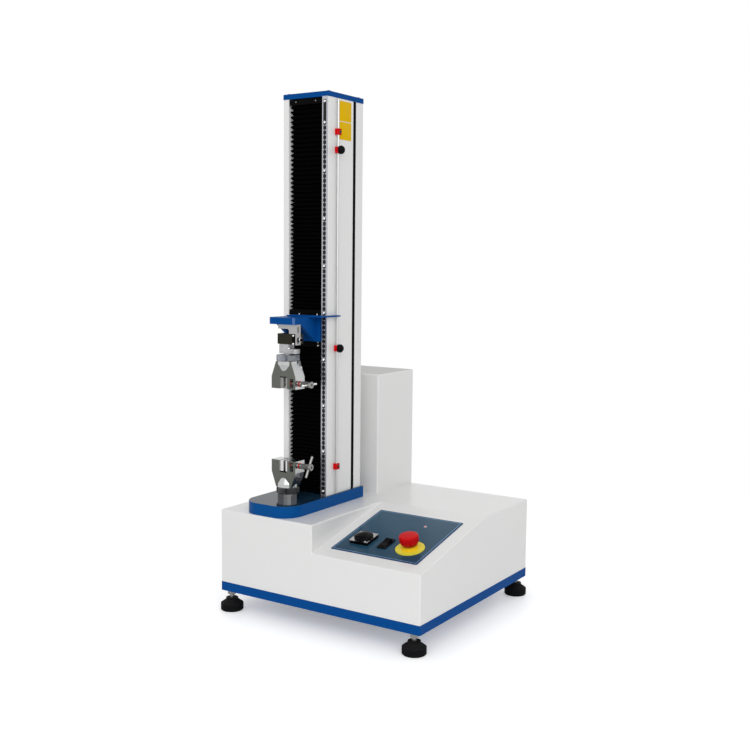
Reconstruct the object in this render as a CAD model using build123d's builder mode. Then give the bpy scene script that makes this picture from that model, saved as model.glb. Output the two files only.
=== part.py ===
import os
from math import atan2, cos, degrees, pi, radians, sin

from build123d import *

# Frame: millimetres, origin on the floor at the centre of the base, +X right, -Y front, +Z up

# Base, seen from the front: a raised block on the left and a sloping desk on the right
base_width = 502.0
base_depth = 476.0
foot_height = 43.0
tray_height = 19.5
cover_front_height = 100.0
cover_back_height = 159.0
slope_run = 262.0
block_width = 243.0
sheet = 2.0
cover_inset = 0.6
cover_edge = 2.5

# Column, an extrusion that is open to the front
column_x = -134.0
column_front = -93.0
column_width = 119.5
column_depth = 131.0
column_height = 852.5
column_wall = 14.75
column_back_wall = 10.0
column_corner = 2.0

# Blue foot plate under the column and the load axis
plate_thickness = 25.0
plate_side = 5.7
plate_front_inset = 4.0
plate_rear = 3.5
axis_reach = 60.0

# Crosshead: level of the arm's top at rest, above the foot plate
head_rest = 390.0
head_height = 53.5

# Fits
running_gap = 0.05
slip_gap = 0.3
seat_gap = 0.5
overrun = 5.0

# Levels and places worked out from the driving sizes
tray_z = foot_height
cover_z = tray_z + tray_height
desk_z = cover_z + cover_front_height
top_z = cover_z + cover_back_height
plate_z = top_z + plate_thickness
cap_z = plate_z + column_height
head_z = plate_z + head_rest
head_low = head_z - head_height
front_y = -base_depth / 2
back_y = base_depth / 2
left_x = -base_width / 2
block_x = left_x + block_width
column_right = column_x + column_width / 2
column_rear = column_front + column_depth
channel_width = column_width - 2 * column_wall
channel_rear = column_rear - column_back_wall
axis_x = column_x
axis_y = column_front - axis_reach
slope_angle = degrees(atan2(cover_back_height - cover_front_height, slope_run))


def keep(piece, label):
    """Label a finished piece and write it under that name."""
    piece.part.label = label
    export_step(piece.part, f"parts/{label}.step")


def keep_group(pieces, label):
    """Write pieces that touch but aren't fused as one group of separate solids."""
    solids = [solid for piece in pieces for solid in piece.part.solids()]
    group = Compound(label=label, children=solids)
    export_step(group, f"parts/{label}.step")


def bar_between(low, high, mode=Mode.ADD):
    """A box from its lowest to its highest corner, for use in a part's block."""
    size = [b - a for a, b in zip(low, high)]
    middle = [(a + b) / 2 for a, b in zip(low, high)]
    with Locations(tuple(middle)):
        return Box(*size, mode=mode)


def dome_radius(half_width, rise):
    """Radius of the ball whose cap has this half width and rise."""
    return (half_width**2 + rise**2) / (2 * rise)


os.makedirs("parts", exist_ok=True)

# Levelling feet: a rubber bell on a stud, with its lock nut tight under the tray
pad_diameter = 49.0
pad_rim = 15.0
pad_shoulder = 22.0
pad_neck_diameter = 26.0
pad_neck_top = 27.0
pad_edge = 2.0
pad_core = 6.0
stud_diameter = 10.0
stud_inside = 30.0
nut_flats = 17.0
nut_sides = 6
nut_height = 8.0
boss_diameter = 24.0
boss_height = 14.0
foot_inset_x = 20.0
foot_inset_y = 13.0
foot_x = base_width / 2 - foot_inset_x
foot_y = base_depth / 2 - foot_inset_y


def levelling_foot(x, y):
    """A bell of rubber, the stud it swivels on and the lock nut, each a solid of its own."""
    axis_plane = Plane(origin=(x, y, 0), x_dir=(1, 0, 0), z_dir=(0, -1, 0))
    with BuildPart() as pad:
        with BuildSketch(axis_plane):
            with BuildLine():
                Polyline(
                    (0, 0),
                    (pad_diameter / 2 - pad_edge, 0),
                    (pad_diameter / 2, pad_edge),
                    (pad_diameter / 2, pad_rim),
                    (pad_neck_diameter / 2 + pad_edge, pad_shoulder),
                    (pad_neck_diameter / 2, pad_shoulder + pad_edge),
                    (pad_neck_diameter / 2, pad_neck_top),
                    (stud_diameter / 2, pad_neck_top),
                    (stud_diameter / 2, pad_core),
                    (0, pad_core),
                    close=True,
                )
            make_face()
        revolve(axis=Axis((x, y, 0), (0, 0, 1)))
    with BuildPart() as nut:
        with BuildSketch(Plane.XY.offset(foot_height - nut_height)):
            with Locations((x, y)):
                RegularPolygon(nut_flats / 2, nut_sides, major_radius=False)
                Circle(stud_diameter / 2, mode=Mode.SUBTRACT)
        extrude(amount=nut_height)
    with BuildPart() as stud:
        with BuildSketch(Plane.XY.offset(pad_core)):
            with Locations((x, y)):
                Circle(stud_diameter / 2)
        extrude(amount=foot_height + stud_inside - pad_core)
        chamfer(stud.edges().group_by(Axis.Z)[-1], length=pad_edge / 2)
    return pad, nut, stud


for side, x_sign in (("left", -1), ("right", 1)):
    for end, y_sign in (("front", -1), ("rear", 1)):
        pieces = levelling_foot(x_sign * foot_x, y_sign * foot_y)
        keep_group(pieces, f"foot_{end}_{side}")

# Blue tray: a shallow pan with a threaded boss over each foot
tray_corner = 3.0
with BuildPart() as base_tray:
    with BuildSketch(Plane.XY.offset(tray_z)):
        RectangleRounded(base_width, base_depth, tray_corner)
    extrude(amount=tray_height)
    with BuildSketch(Plane.XY.offset(tray_z + sheet)):
        RectangleRounded(base_width - 2 * sheet, base_depth - 2 * sheet, tray_corner - sheet)
    extrude(amount=tray_height, mode=Mode.SUBTRACT)
    with BuildSketch(Plane.XY.offset(tray_z)):
        with GridLocations(2 * foot_x, 2 * foot_y, 2, 2):
            Circle(boss_diameter / 2)
    extrude(amount=boss_height)
    with BuildSketch(Plane.XY.offset(tray_z)):
        with GridLocations(2 * foot_x, 2 * foot_y, 2, 2):
            Circle(stud_diameter / 2 + running_gap)
    extrude(amount=boss_height, mode=Mode.SUBTRACT)
keep(base_tray, "base_tray")

# Ball screw, belt drive and motor places
screw_diameter = 20.0
journal_diameter = 15.0
drive_from_front = 62.0
drive_y = column_front + drive_from_front
motor_square = 80.0
motor_length = 165.0
motor_flange = 86.0
motor_flange_height = 8.0
motor_clearance = 5.0
housing_width = 154.0
housing_depth = 155.5
housing_height = 277.5
motor_y = back_y - housing_depth / 2
screw_hole = 26.0
motor_register = 40.0

# Control desk: a plane on the sloping face, centred on the control panel
panel_width = 205.0
panel_length = 195.0
panel_thickness = 1.0
panel_x = 119.3
panel_up_slope = 131.0
panel_rim = 9.0
cover_front = front_y + cover_inset
desk_plane = Plane(
    origin=(
        panel_x,
        cover_front + panel_up_slope * cos(radians(slope_angle)),
        desk_z + panel_up_slope * sin(radians(slope_angle)),
    ),
    x_dir=(1, 0, 0),
    z_dir=(0, -sin(radians(slope_angle)), cos(radians(slope_angle))),
)
panel_plane = desk_plane.offset(panel_thickness)

# Rear wall: louvres, the mains inlet and the data socket
louvre_length = 62.0
louvre_height = 4.0
louvre_pitch_x = 84.0
louvre_pitch_z = 11.0
louvre_rows = 6
louvre_x = 40.0
louvre_z = 150.0
inlet_x = 190.0
inlet_z = 110.0
inlet_width = 27.5
inlet_height = 20.0
port_x = 110.0
port_z = 96.0
port_width = 20.0
port_height = 12.0

# White cover: a folded shell, a desk with a raised block, open at the bottom
with BuildPart() as base_cover:
    with BuildSketch(Plane.YZ.offset(left_x + cover_inset)):
        with BuildLine():
            Polyline(
                (cover_front, cover_z),
                (back_y - cover_inset, cover_z),
                (back_y - cover_inset, top_z),
                (cover_front + slope_run, top_z),
                (cover_front, desk_z),
                close=True,
            )
        make_face()
    extrude(amount=base_width - 2 * cover_inset)
    bar_between((left_x + cover_inset, cover_front, cover_z), (block_x, cover_front + slope_run, top_z))
    outer_edges = base_cover.edges().filter_by(lambda e: e.center().Z > cover_z + sheet)
    fillet(outer_edges, radius=cover_edge)
    with BuildSketch(Plane.YZ.offset(left_x + cover_inset + sheet)):
        with BuildLine():
            Polyline(
                (cover_front, cover_z - sheet),
                (back_y - cover_inset, cover_z - sheet),
                (back_y - cover_inset, top_z),
                (cover_front + slope_run, top_z),
                (cover_front, desk_z),
                close=True,
            )
        make_face()
        offset(amount=-sheet, kind=Kind.INTERSECTION)
    extrude(amount=base_width - 2 * cover_inset - 2 * sheet, mode=Mode.SUBTRACT)
    with BuildSketch(Plane.XY.offset(cover_z)):
        with BuildLine():
            Polyline(
                (left_x + cover_inset + sheet, cover_front + sheet),
                (block_x - sheet, cover_front + sheet),
                (block_x - sheet, cover_front + slope_run + sheet),
                (left_x + cover_inset + sheet, cover_front + slope_run + sheet),
                close=True,
            )
        make_face()
    extrude(amount=cover_back_height - sheet, mode=Mode.SUBTRACT)
    with BuildSketch(desk_plane):
        Rectangle(panel_width - 2 * panel_rim, panel_length - 2 * panel_rim)
    extrude(amount=2 * sheet, both=True, mode=Mode.SUBTRACT)
    with BuildSketch(Plane.XY.offset(top_z)):
        with Locations((column_x, drive_y)):
            Circle(screw_hole / 2)
        with Locations((column_x, motor_y)):
            Rectangle(motor_flange + 2 * motor_clearance, motor_flange + 2 * motor_clearance)
    extrude(amount=-2 * sheet, mode=Mode.SUBTRACT)
    with BuildSketch(Plane.XZ.offset(-back_y)):
        with Locations((louvre_x, louvre_z)):
            with GridLocations(louvre_pitch_x, louvre_pitch_z, 2, louvre_rows):
                SlotOverall(louvre_length, louvre_height)
        with Locations((inlet_x, inlet_z)):
            Rectangle(inlet_width, inlet_height)
        with Locations((port_x, port_z)):
            Rectangle(port_width, port_height)
    extrude(amount=overrun, mode=Mode.SUBTRACT)
keep(base_cover, "base_cover")

# Bed frame inside the base: a thick plate under the cover's top, on four welded legs
bed_thickness = 12.0
bed_width = 170.0
bed_front_inset = 14.0
bed_rear_inset = 20.0
leg_square = 30.0
leg_wall = 3.0
bed_top = top_z - sheet
bed_low = bed_top - bed_thickness
bed_front = front_y + bed_front_inset
bed_rear = back_y - bed_rear_inset
bed_middle = (bed_front + bed_rear) / 2
bed_depth = bed_rear - bed_front
with BuildPart() as bed_frame:
    with BuildSketch(Plane.XY.offset(bed_low)):
        with Locations((column_x, bed_middle)):
            Rectangle(bed_width, bed_depth)
        with Locations((column_x, drive_y)):
            Circle(screw_hole / 2, mode=Mode.SUBTRACT)
        with Locations((column_x, motor_y)):
            Circle(motor_register / 2, mode=Mode.SUBTRACT)
    extrude(amount=bed_thickness)
    with BuildSketch(Plane.XY.offset(tray_z + sheet)):
        with Locations((column_x, bed_middle)):
            with GridLocations(bed_width - leg_square, bed_depth - leg_square, 2, 2):
                Rectangle(leg_square, leg_square)
                Rectangle(leg_square - 2 * leg_wall, leg_square - 2 * leg_wall, mode=Mode.SUBTRACT)
    extrude(amount=bed_low - tray_z - sheet)
keep(bed_frame, "bed_frame")

# Blue foot plate: rounded front corners, bores for the ball screw and the lower adapter
plate_corner = 44.0
plate_edge = 1.2
spigot_diameter = 20.0
spigot_length = 16.0
plate_width = column_width + 2 * plate_side
plate_front = front_y + plate_front_inset
plate_back = column_rear + plate_rear
with BuildPart() as column_plate:
    with BuildSketch(Plane.XY.offset(top_z)):
        with Locations((column_x, (plate_front + plate_back) / 2)):
            Rectangle(plate_width, plate_back - plate_front)
    extrude(amount=plate_thickness)
    front_uprights = column_plate.edges().filter_by(Axis.Z).sort_by(Axis.Y)[:2]
    fillet(front_uprights, radius=plate_corner)
    fillet(column_plate.edges().group_by(Axis.Z)[-1], radius=plate_edge)
    with BuildSketch(Plane.XY.offset(plate_z)):
        with Locations((column_x, drive_y)):
            Circle(screw_hole / 2)
    extrude(amount=-plate_thickness, mode=Mode.SUBTRACT)
    with BuildSketch(Plane.XY.offset(plate_z)):
        with Locations((axis_x, axis_y)):
            Circle(spigot_diameter / 2 + running_gap)
    extrude(amount=-spigot_length - seat_gap, mode=Mode.SUBTRACT)
keep(column_plate, "column_plate")

# Column extrusion: an open channel with hollow side walls and a groove down each side
chamber_wall = 3.0
groove_width = 7.0
groove_depth = 4.0
groove_from_front = 92.0
groove_y = column_front + groove_from_front
chamber_width = column_wall - 2 * chamber_wall
with BuildPart() as column_profile:
    with BuildSketch(Plane.XY.offset(plate_z)):
        with Locations((column_x, column_front + column_depth / 2)):
            RectangleRounded(column_width, column_depth, column_corner)
        channel_depth = channel_rear - column_front
        with Locations((column_x, column_front + channel_depth / 2 - overrun / 2)):
            Rectangle(channel_width, channel_depth + overrun, mode=Mode.SUBTRACT)
        wall_x = (channel_width + column_wall) / 2
        chambers = (
            (column_front + chamber_wall, groove_y - chamber_wall),
            (groove_y + groove_width + chamber_wall, column_rear - chamber_wall),
        )
        for low, high in chambers:
            with Locations((column_x - wall_x, (low + high) / 2), (column_x + wall_x, (low + high) / 2)):
                Rectangle(chamber_width, high - low, mode=Mode.SUBTRACT)
        groove_x = (column_width - groove_depth) / 2
        groove_middle = groove_y + groove_width / 2
        with Locations((column_x - groove_x, groove_middle), (column_x + groove_x, groove_middle)):
            Rectangle(groove_depth, groove_width, mode=Mode.SUBTRACT)
    extrude(amount=column_height)
keep(column_profile, "column_profile")

# Blue cap
cap_thickness = 11.0
cap_overhang = 1.0
cap_edge = 1.0
with BuildPart() as column_cap:
    with BuildSketch(Plane.XY.offset(cap_z)):
        with Locations((column_x, column_front + column_depth / 2)):
            RectangleRounded(
                column_width + 2 * cap_overhang,
                column_depth + 2 * cap_overhang,
                column_corner + cap_overhang,
            )
    extrude(amount=cap_thickness)
    fillet(column_cap.edges().group_by(Axis.Z)[-1], radius=cap_edge)
keep(column_cap, "column_cap")

# Scale rail: a shallow channel on the right front wall, held every hundred millimetres
rail_width = 13.4
rail_thickness = 3.0
rail_floor = 2.2
rail_lip = 2.6
rail_hole = 4.2
rail_pitch = 100.0
rail_first = 10.5
rail_x = column_right - column_wall / 2
rail_count = int((column_height - 2 * rail_first) // rail_pitch) + 1
with BuildPart() as scale_rail:
    bar_between(
        (rail_x - rail_width / 2, column_front - rail_thickness, plate_z),
        (rail_x + rail_width / 2, column_front, cap_z),
    )
    with BuildSketch(Plane.XY.offset(plate_z)):
        with Locations((rail_x, column_front - rail_thickness + (rail_thickness - rail_floor) / 2)):
            Rectangle(rail_width - 2 * rail_lip, rail_thickness - rail_floor)
    extrude(amount=column_height, mode=Mode.SUBTRACT)
    with BuildSketch(Plane.XZ.offset(-column_front)):
        for step in range(rail_count):
            with Locations((rail_x, cap_z - rail_first - step * rail_pitch)):
                Circle(rail_hole / 2)
    extrude(amount=rail_thickness, mode=Mode.SUBTRACT)
keep(scale_rail, "scale_rail")

# Bearing blocks: the lower one on the foot plate, the upper one under the cap
guide_diameter = 16.0
guide_spread = 30.0
block_height = 25.0
block_reach = 31.0
block_front = drive_y - block_reach
lower_block_z = plate_z
upper_block_z = cap_z - block_height
with BuildPart() as bearing_blocks:
    for level in (lower_block_z, upper_block_z):
        with BuildSketch(Plane.XY.offset(level)):
            with Locations((column_x, (block_front + channel_rear) / 2)):
                Rectangle(channel_width, channel_rear - block_front)
            with Locations((column_x, drive_y)):
                Circle(journal_diameter / 2 + running_gap, mode=Mode.SUBTRACT)
            with Locations((column_x - guide_spread, drive_y), (column_x + guide_spread, drive_y)):
                Circle(guide_diameter / 2 + running_gap, mode=Mode.SUBTRACT)
        extrude(amount=block_height)
keep(bearing_blocks, "bearing_blocks")

with BuildPart() as guide_rods:
    with BuildSketch(Plane.XY.offset(plate_z)):
        with Locations((column_x - guide_spread, drive_y), (column_x + guide_spread, drive_y)):
            Circle(guide_diameter / 2)
    extrude(amount=column_height)
keep(guide_rods, "guide_rods")

# Ball screw: full diameter between the blocks, journals through them and down to its pulley
pulley_height = 18.0
pulley_drop = 6.0
pulley_z = bed_low - pulley_drop - pulley_height
with BuildPart() as ball_screw:
    with BuildSketch(Plane.XY.offset(pulley_z)):
        with Locations((column_x, drive_y)):
            Circle(journal_diameter / 2)
    extrude(amount=cap_z - seat_gap - pulley_z)
    with BuildSketch(Plane.XY.offset(lower_block_z + block_height + seat_gap)):
        with Locations((column_x, drive_y)):
            Circle(screw_diameter / 2)
    extrude(amount=upper_block_z - lower_block_z - block_height - 2 * seat_gap)
keep(ball_screw, "ball_screw")

# Toothed belt drive: the pulley on the screw has twice the teeth of the one on the motor
belt_pitch = 5.0
screw_teeth = 40
motor_teeth = 20
belt_thickness = 2.4
belt_width = 13.0
tooth_radius = 1.3
shaft_diameter = 14.0
shaft_inside = 22.0
screw_pulley_radius = screw_teeth * belt_pitch / (2 * pi)
motor_pulley_radius = motor_teeth * belt_pitch / (2 * pi)


def toothed_pulley(x, y, radius, teeth, bore_radius, shaft_top):
    """A disc with a round groove for each belt tooth, bored, or made solid with its shaft."""
    with BuildPart() as pulley:
        with BuildSketch(Plane.XY.offset(pulley_z)):
            with Locations((x, y)):
                Circle(radius)
                with PolarLocations(radius, teeth):
                    Circle(tooth_radius, mode=Mode.SUBTRACT)
                if bore_radius:
                    Circle(bore_radius, mode=Mode.SUBTRACT)
        extrude(amount=pulley_height)
        if shaft_top:
            with BuildSketch(Plane.XY.offset(pulley_z)):
                with Locations((x, y)):
                    Circle(shaft_diameter / 2)
            extrude(amount=shaft_top - pulley_z)
    return pulley


screw_pulley = toothed_pulley(
    column_x, drive_y, screw_pulley_radius, screw_teeth, journal_diameter / 2, 0
)
keep(screw_pulley, "screw_pulley")

motor_pulley = toothed_pulley(
    column_x, motor_y, motor_pulley_radius, motor_teeth, 0, bed_top + shaft_inside
)
keep(motor_pulley, "motor_pulley")

with BuildPart() as timing_belt:
    belt_z = pulley_z + (pulley_height - belt_width) / 2
    with BuildSketch(Plane.XY.offset(belt_z)):
        with Locations((column_x, drive_y)):
            Circle(screw_pulley_radius + slip_gap + belt_thickness)
        with Locations((column_x, motor_y)):
            Circle(motor_pulley_radius + slip_gap + belt_thickness)
        make_hull()
    extrude(amount=belt_width)
    with BuildSketch(Plane.XY.offset(belt_z)):
        with Locations((column_x, drive_y)):
            Circle(screw_pulley_radius + slip_gap)
        with Locations((column_x, motor_y)):
            Circle(motor_pulley_radius + slip_gap)
        make_hull()
    extrude(amount=belt_width, mode=Mode.SUBTRACT)
keep(timing_belt, "timing_belt")

# Motor: flange on the bed, square body, round encoder cover and a connector box
motor_chamfer = 9.0
encoder_diameter = 62.0
encoder_height = 30.0
connector_size = 24.0
shaft_hole = 18.0
with BuildPart() as motor:
    with BuildSketch(Plane.XY.offset(bed_top)):
        with Locations((column_x, motor_y)):
            RectangleRounded(motor_flange, motor_flange, motor_chamfer)
    extrude(amount=motor_flange_height)
    with BuildSketch(Plane.XY.offset(bed_top)):
        with Locations((column_x, motor_y)):
            body = Rectangle(motor_square, motor_square)
            chamfer(body.vertices(), length=motor_chamfer)
    extrude(amount=motor_length)
    with BuildSketch(Plane.XY.offset(bed_top + motor_length)):
        with Locations((column_x, motor_y)):
            Circle(encoder_diameter / 2)
    extrude(amount=encoder_height)
    bar_between(
        (
            column_x - connector_size / 2,
            motor_y - motor_square / 2 - connector_size / 2,
            bed_top + motor_length - 2 * connector_size,
        ),
        (
            column_x + connector_size / 2,
            motor_y - motor_square / 2,
            bed_top + motor_length - connector_size,
        ),
    )
    with BuildSketch(Plane.XY.offset(bed_top)):
        with Locations((column_x, motor_y)):
            Circle(shaft_hole / 2)
    extrude(amount=shaft_inside + seat_gap, mode=Mode.SUBTRACT)
keep(motor, "motor")

# White motor housing: a folded box with louvres in its rear wall
housing_edge = 3.0
housing_louvres = 8
housing_louvre_length = 90.0
with BuildPart() as motor_housing:
    with BuildSketch(Plane.XY.offset(top_z)):
        with Locations((column_x, motor_y)):
            Rectangle(housing_width, housing_depth - 2 * cover_inset)
    extrude(amount=housing_height)
    fillet(motor_housing.edges().filter_by(lambda e: e.center().Z > top_z + sheet), radius=housing_edge)
    with BuildSketch(Plane.XY.offset(top_z)):
        with Locations((column_x, motor_y)):
            Rectangle(housing_width - 2 * sheet, housing_depth - 2 * cover_inset - 2 * sheet)
    extrude(amount=housing_height - sheet, mode=Mode.SUBTRACT)
    with BuildSketch(Plane.XZ.offset(-back_y)):
        with Locations((column_x, top_z + housing_height / 2)):
            with GridLocations(louvre_pitch_x, louvre_pitch_z, 1, housing_louvres):
                SlotOverall(housing_louvre_length, louvre_height)
    extrude(amount=overrun, mode=Mode.SUBTRACT)
keep(motor_housing, "motor_housing")

# Bellows: two pleated curtains between the crosshead and the ends of the channel
pleat_depth = 12.0
pleat_inset = 2.5
pleat_sheet = 3.0
pleat_pitch = 9.0
spread_share = 0.16
pleat_side_gap = 1.0
bellows_width = channel_width - 2 * pleat_side_gap


def bellows(low, high, name):
    """A pleated sheet whose folds open a little towards the top, where they hang."""
    folds = round((high - low) / pleat_pitch)
    front = column_front + pleat_inset
    chain = []
    for step in range(2 * folds + 1):
        share = step / (2 * folds)
        level = low + (high - low) * share * (1 - spread_share + spread_share * share)
        chain.append((front + (pleat_depth if step % 2 == 0 else 0), level))
    back = [(y + pleat_sheet, z) for y, z in reversed(chain)]
    with BuildPart() as curtain:
        with BuildSketch(Plane.YZ.offset(column_x - bellows_width / 2)):
            with BuildLine():
                Polyline(*chain, *back, close=True)
            make_face()
        extrude(amount=bellows_width)
    keep(curtain, name)


bellows(plate_z + seat_gap, head_low - seat_gap, "bellows_lower")
bellows(head_z + seat_gap, cap_z - seat_gap, "bellows_upper")

# Crosshead carriage inside the channel, on the guide rods and the ball nut
carriage_gap = 3.0
nut_diameter = 32.0
nut_flange = 40.0
nut_flange_height = 10.0
plate_standoff = 1.0
carriage_front = column_front - plate_standoff
carriage_reach = 21.0
carriage_rear = drive_y + carriage_reach
carriage_width = channel_width - 2 * carriage_gap
with BuildPart() as crosshead_carriage:
    bar_between(
        (column_x - carriage_width / 2, carriage_front, head_low),
        (column_x + carriage_width / 2, carriage_rear, head_z),
    )
    with BuildSketch(Plane.XY.offset(head_low)):
        with Locations((column_x, drive_y)):
            Circle(nut_diameter / 2 + running_gap)
        with Locations((column_x - guide_spread, drive_y), (column_x + guide_spread, drive_y)):
            Circle(guide_diameter / 2 + running_gap)
    extrude(amount=head_height, mode=Mode.SUBTRACT)
keep(crosshead_carriage, "crosshead_carriage")

with BuildPart() as ball_nut:
    with BuildSketch(Plane.XY.offset(head_low - nut_flange_height)):
        with Locations((column_x, drive_y)):
            Circle(nut_flange / 2)
    extrude(amount=nut_flange_height)
    with BuildSketch(Plane.XY.offset(head_low)):
        with Locations((column_x, drive_y)):
            Circle(nut_diameter / 2)
    extrude(amount=head_height - seat_gap)
    with BuildSketch(Plane.XY.offset(head_low - nut_flange_height)):
        with Locations((column_x, drive_y)):
            Circle(screw_diameter / 2 + running_gap)
    extrude(amount=head_height + nut_flange_height, mode=Mode.SUBTRACT)
keep(ball_nut, "ball_nut")

# Arm: back plate on the carriage, top plate over the load axis and a gusset on each side
arm_half_width = 33.5
arm_thickness = 14.5
arm_reach = 24.0
arm_corner = 5.0
back_plate_thickness = 6.0
gusset_thickness = 8.0
gusset_run = 53.0
arm_low = head_z - arm_thickness
arm_front = axis_y - arm_reach
back_plate_y = carriage_front - back_plate_thickness
with BuildPart() as crosshead_arm:
    bar_between(
        (column_x - bellows_width / 2, back_plate_y, head_low),
        (column_x + bellows_width / 2, carriage_front, head_z),
    )
    bar_between(
        (axis_x - arm_half_width, arm_front, arm_low),
        (axis_x + arm_half_width, back_plate_y, head_z),
    )
    fillet(crosshead_arm.edges().filter_by(Axis.Z).sort_by(Axis.Y)[:2], radius=arm_corner)
    for gusset_x in (axis_x - arm_half_width, axis_x + arm_half_width - gusset_thickness):
        with BuildSketch(Plane.YZ.offset(gusset_x)):
            with BuildLine():
                Polyline(
                    (back_plate_y - gusset_run, arm_low),
                    (back_plate_y, arm_low),
                    (back_plate_y, head_low),
                    close=True,
                )
            make_face()
        extrude(amount=gusset_thickness)
keep(crosshead_arm, "crosshead_arm")

# Limit rod beside the column, and the striker plate on the arm that meets its stops
rod_reach = 4.5
rod_diameter = 5.0
rod_from_front = 29.5
rod_y = column_front + rod_from_front
rod_end_gap = 3.0
rod_x = column_right + rod_reach
striker_thickness = 3.0
striker_hole = 6.0
striker_left = 26.0
striker_front = 28.0
striker_margin = 5.2
striker_rear_margin = 5.0
rail_clearance = 1.0
with BuildPart() as striker_plate:
    with BuildSketch(Plane.XY.offset(head_z)):
        with BuildLine():
            striker_right = rod_x + striker_margin
            striker_inner = column_right + seat_gap
            striker_back = column_front - rail_thickness - rail_clearance
            Polyline(
                (axis_x - striker_left, axis_y + striker_front),
                (striker_right, axis_y + striker_front),
                (striker_right, rod_y + striker_rear_margin),
                (striker_inner, rod_y + striker_rear_margin),
                (striker_inner, striker_back),
                (axis_x - striker_left, striker_back),
                close=True,
            )
        make_face()
        with Locations((rod_x, rod_y)):
            Circle(striker_hole / 2, mode=Mode.SUBTRACT)
    extrude(amount=striker_thickness)
keep(striker_plate, "striker_plate")

with BuildPart() as limit_rod:
    with BuildSketch(Plane.XY.offset(plate_z + rod_end_gap)):
        with Locations((rod_x, rod_y)):
            Circle(rod_diameter / 2)
    extrude(amount=column_height - 2 * rod_end_gap)
keep(limit_rod, "limit_rod")

# Red guide clamps fixed to the column, and the two movable stops with their knobs
clamp_depth = 12.0
clamp_height = 13.0
clamp_low = 62.0
clamp_high = 781.5
stop_width = 8.0
stop_low = 321.5
stop_high = 743.5
knob_stud = 5.0
knob_diameter = 18.0
knob_crown = 6.0
knob_gap = 1.5
knob_height = 10.5


def rod_block(level, width):
    """A block round the limit rod, centred on it."""
    with BuildPart() as block:
        with BuildSketch(Plane.XY.offset(plate_z + level - clamp_height / 2)):
            with Locations((rod_x, rod_y)):
                Rectangle(width, clamp_depth)
                Circle(rod_diameter / 2 + running_gap, mode=Mode.SUBTRACT)
        extrude(amount=clamp_height)
    return block


keep_group([rod_block(clamp_low, 2 * rod_reach), rod_block(clamp_high, 2 * rod_reach)], "rod_clamps")


def movable_stop(level, name):
    """A stop block and the knurled knob whose stud locks it on the rod."""
    stop = rod_block(level, stop_width)
    across = Plane(origin=(rod_x, rod_y, plate_z + level), x_dir=(0, 1, 0), z_dir=(1, 0, 0))
    with BuildPart(across) as drilling:
        Cylinder(knob_stud / 2 + running_gap, stop_width, align=(Align.CENTER, Align.CENTER, Align.MIN))
    with BuildPart() as bored:
        add(stop.part)
        add(drilling.part, mode=Mode.SUBTRACT)
    keep(bored, f"stop_{name}")
    stud_start = rod_diameter / 2 + slip_gap
    base = stop_width / 2 + knob_gap
    with BuildPart() as knob:
        with BuildSketch(Plane(origin=across.origin, x_dir=(1, 0, 0), z_dir=(0, -1, 0))):
            with BuildLine():
                Polyline(
                    (base + knob_height, 0),
                    (stud_start, 0),
                    (stud_start, knob_stud / 2),
                    (base, knob_stud / 2),
                    (base, knob_diameter / 2),
                    (base + knob_height - knob_crown, knob_diameter / 2),
                )
                RadiusArc(
                    (base + knob_height - knob_crown, knob_diameter / 2),
                    (base + knob_height, 0),
                    dome_radius(knob_diameter / 2, knob_crown),
                )
            make_face()
        revolve(axis=Axis(across.origin, (1, 0, 0)))
    keep(knob, f"knob_{name}")


movable_stop(stop_low, "lower")
movable_stop(stop_high, "upper")

# Load cell: a beam under the arm, held at its right end and loaded at its left end
bracket_flange = 9.5
bracket_plate = 3.0
bracket_reach = 31.0
bracket_left = 15.0
bracket_front = 15.0
bracket_depth = 14.0
bracket_drop = 43.0
bracket_web_width = 17.0
bracket_web_corner = 5.0
leg_slot_width = 4.4
leg_slot_length = 13.0
leg_slot_front = 8.7
leg_slot_high = 11.0
leg_slot_low = 33.7
cell_length = 50.0
cell_depth = 24.0
cell_height = 22.3
cell_drop = 20.0
cell_corner = 1.0
bracket_low = arm_low - bracket_flange
plate_left = axis_x + bracket_reach
plate_right = plate_left + bracket_plate
cell_top = arm_low - cell_drop
cell_low = cell_top - cell_height
bracket_back = axis_y - bracket_front + bracket_depth
with BuildPart() as cell_bracket:
    with BuildSketch(Plane.XZ.offset(-bracket_back)):
        with BuildLine():
            Polyline(
                (axis_x - bracket_left, arm_low),
                (plate_right, arm_low),
                (plate_right, arm_low - bracket_drop),
                (plate_left, arm_low - bracket_drop),
                (plate_left, cell_top + seat_gap),
                (plate_left - bracket_web_width, cell_top + seat_gap),
                (plate_left - bracket_web_width, bracket_low),
                (axis_x - bracket_left, bracket_low),
                close=True,
            )
        make_face()
    extrude(amount=bracket_depth)
    web_corner = cell_bracket.edges().filter_by(Axis.Y).filter_by(
        lambda e: abs(e.center().X - plate_left + bracket_web_width) < slip_gap
        and abs(e.center().Z - bracket_low) < slip_gap
    )
    fillet(web_corner, radius=bracket_web_corner)
    slot_y = axis_y - bracket_front + bracket_depth - leg_slot_front
    with BuildSketch(Plane(origin=(plate_right, slot_y, arm_low), x_dir=(0, 1, 0), z_dir=(1, 0, 0))):
        with Locations((0, -leg_slot_high), (0, -leg_slot_low)):
            SlotOverall(leg_slot_length, leg_slot_width, rotation=90)
    extrude(amount=-bracket_plate, mode=Mode.SUBTRACT)
keep(cell_bracket, "cell_bracket")

with BuildPart() as load_cell:
    with BuildSketch(Plane.XZ.offset(-axis_y - cell_depth / 2)):
        with Locations((plate_left - cell_length / 2, (cell_top + cell_low) / 2)):
            RectangleRounded(cell_length, cell_height, cell_corner)
    extrude(amount=cell_depth)
keep(load_cell, "load_cell")

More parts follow.
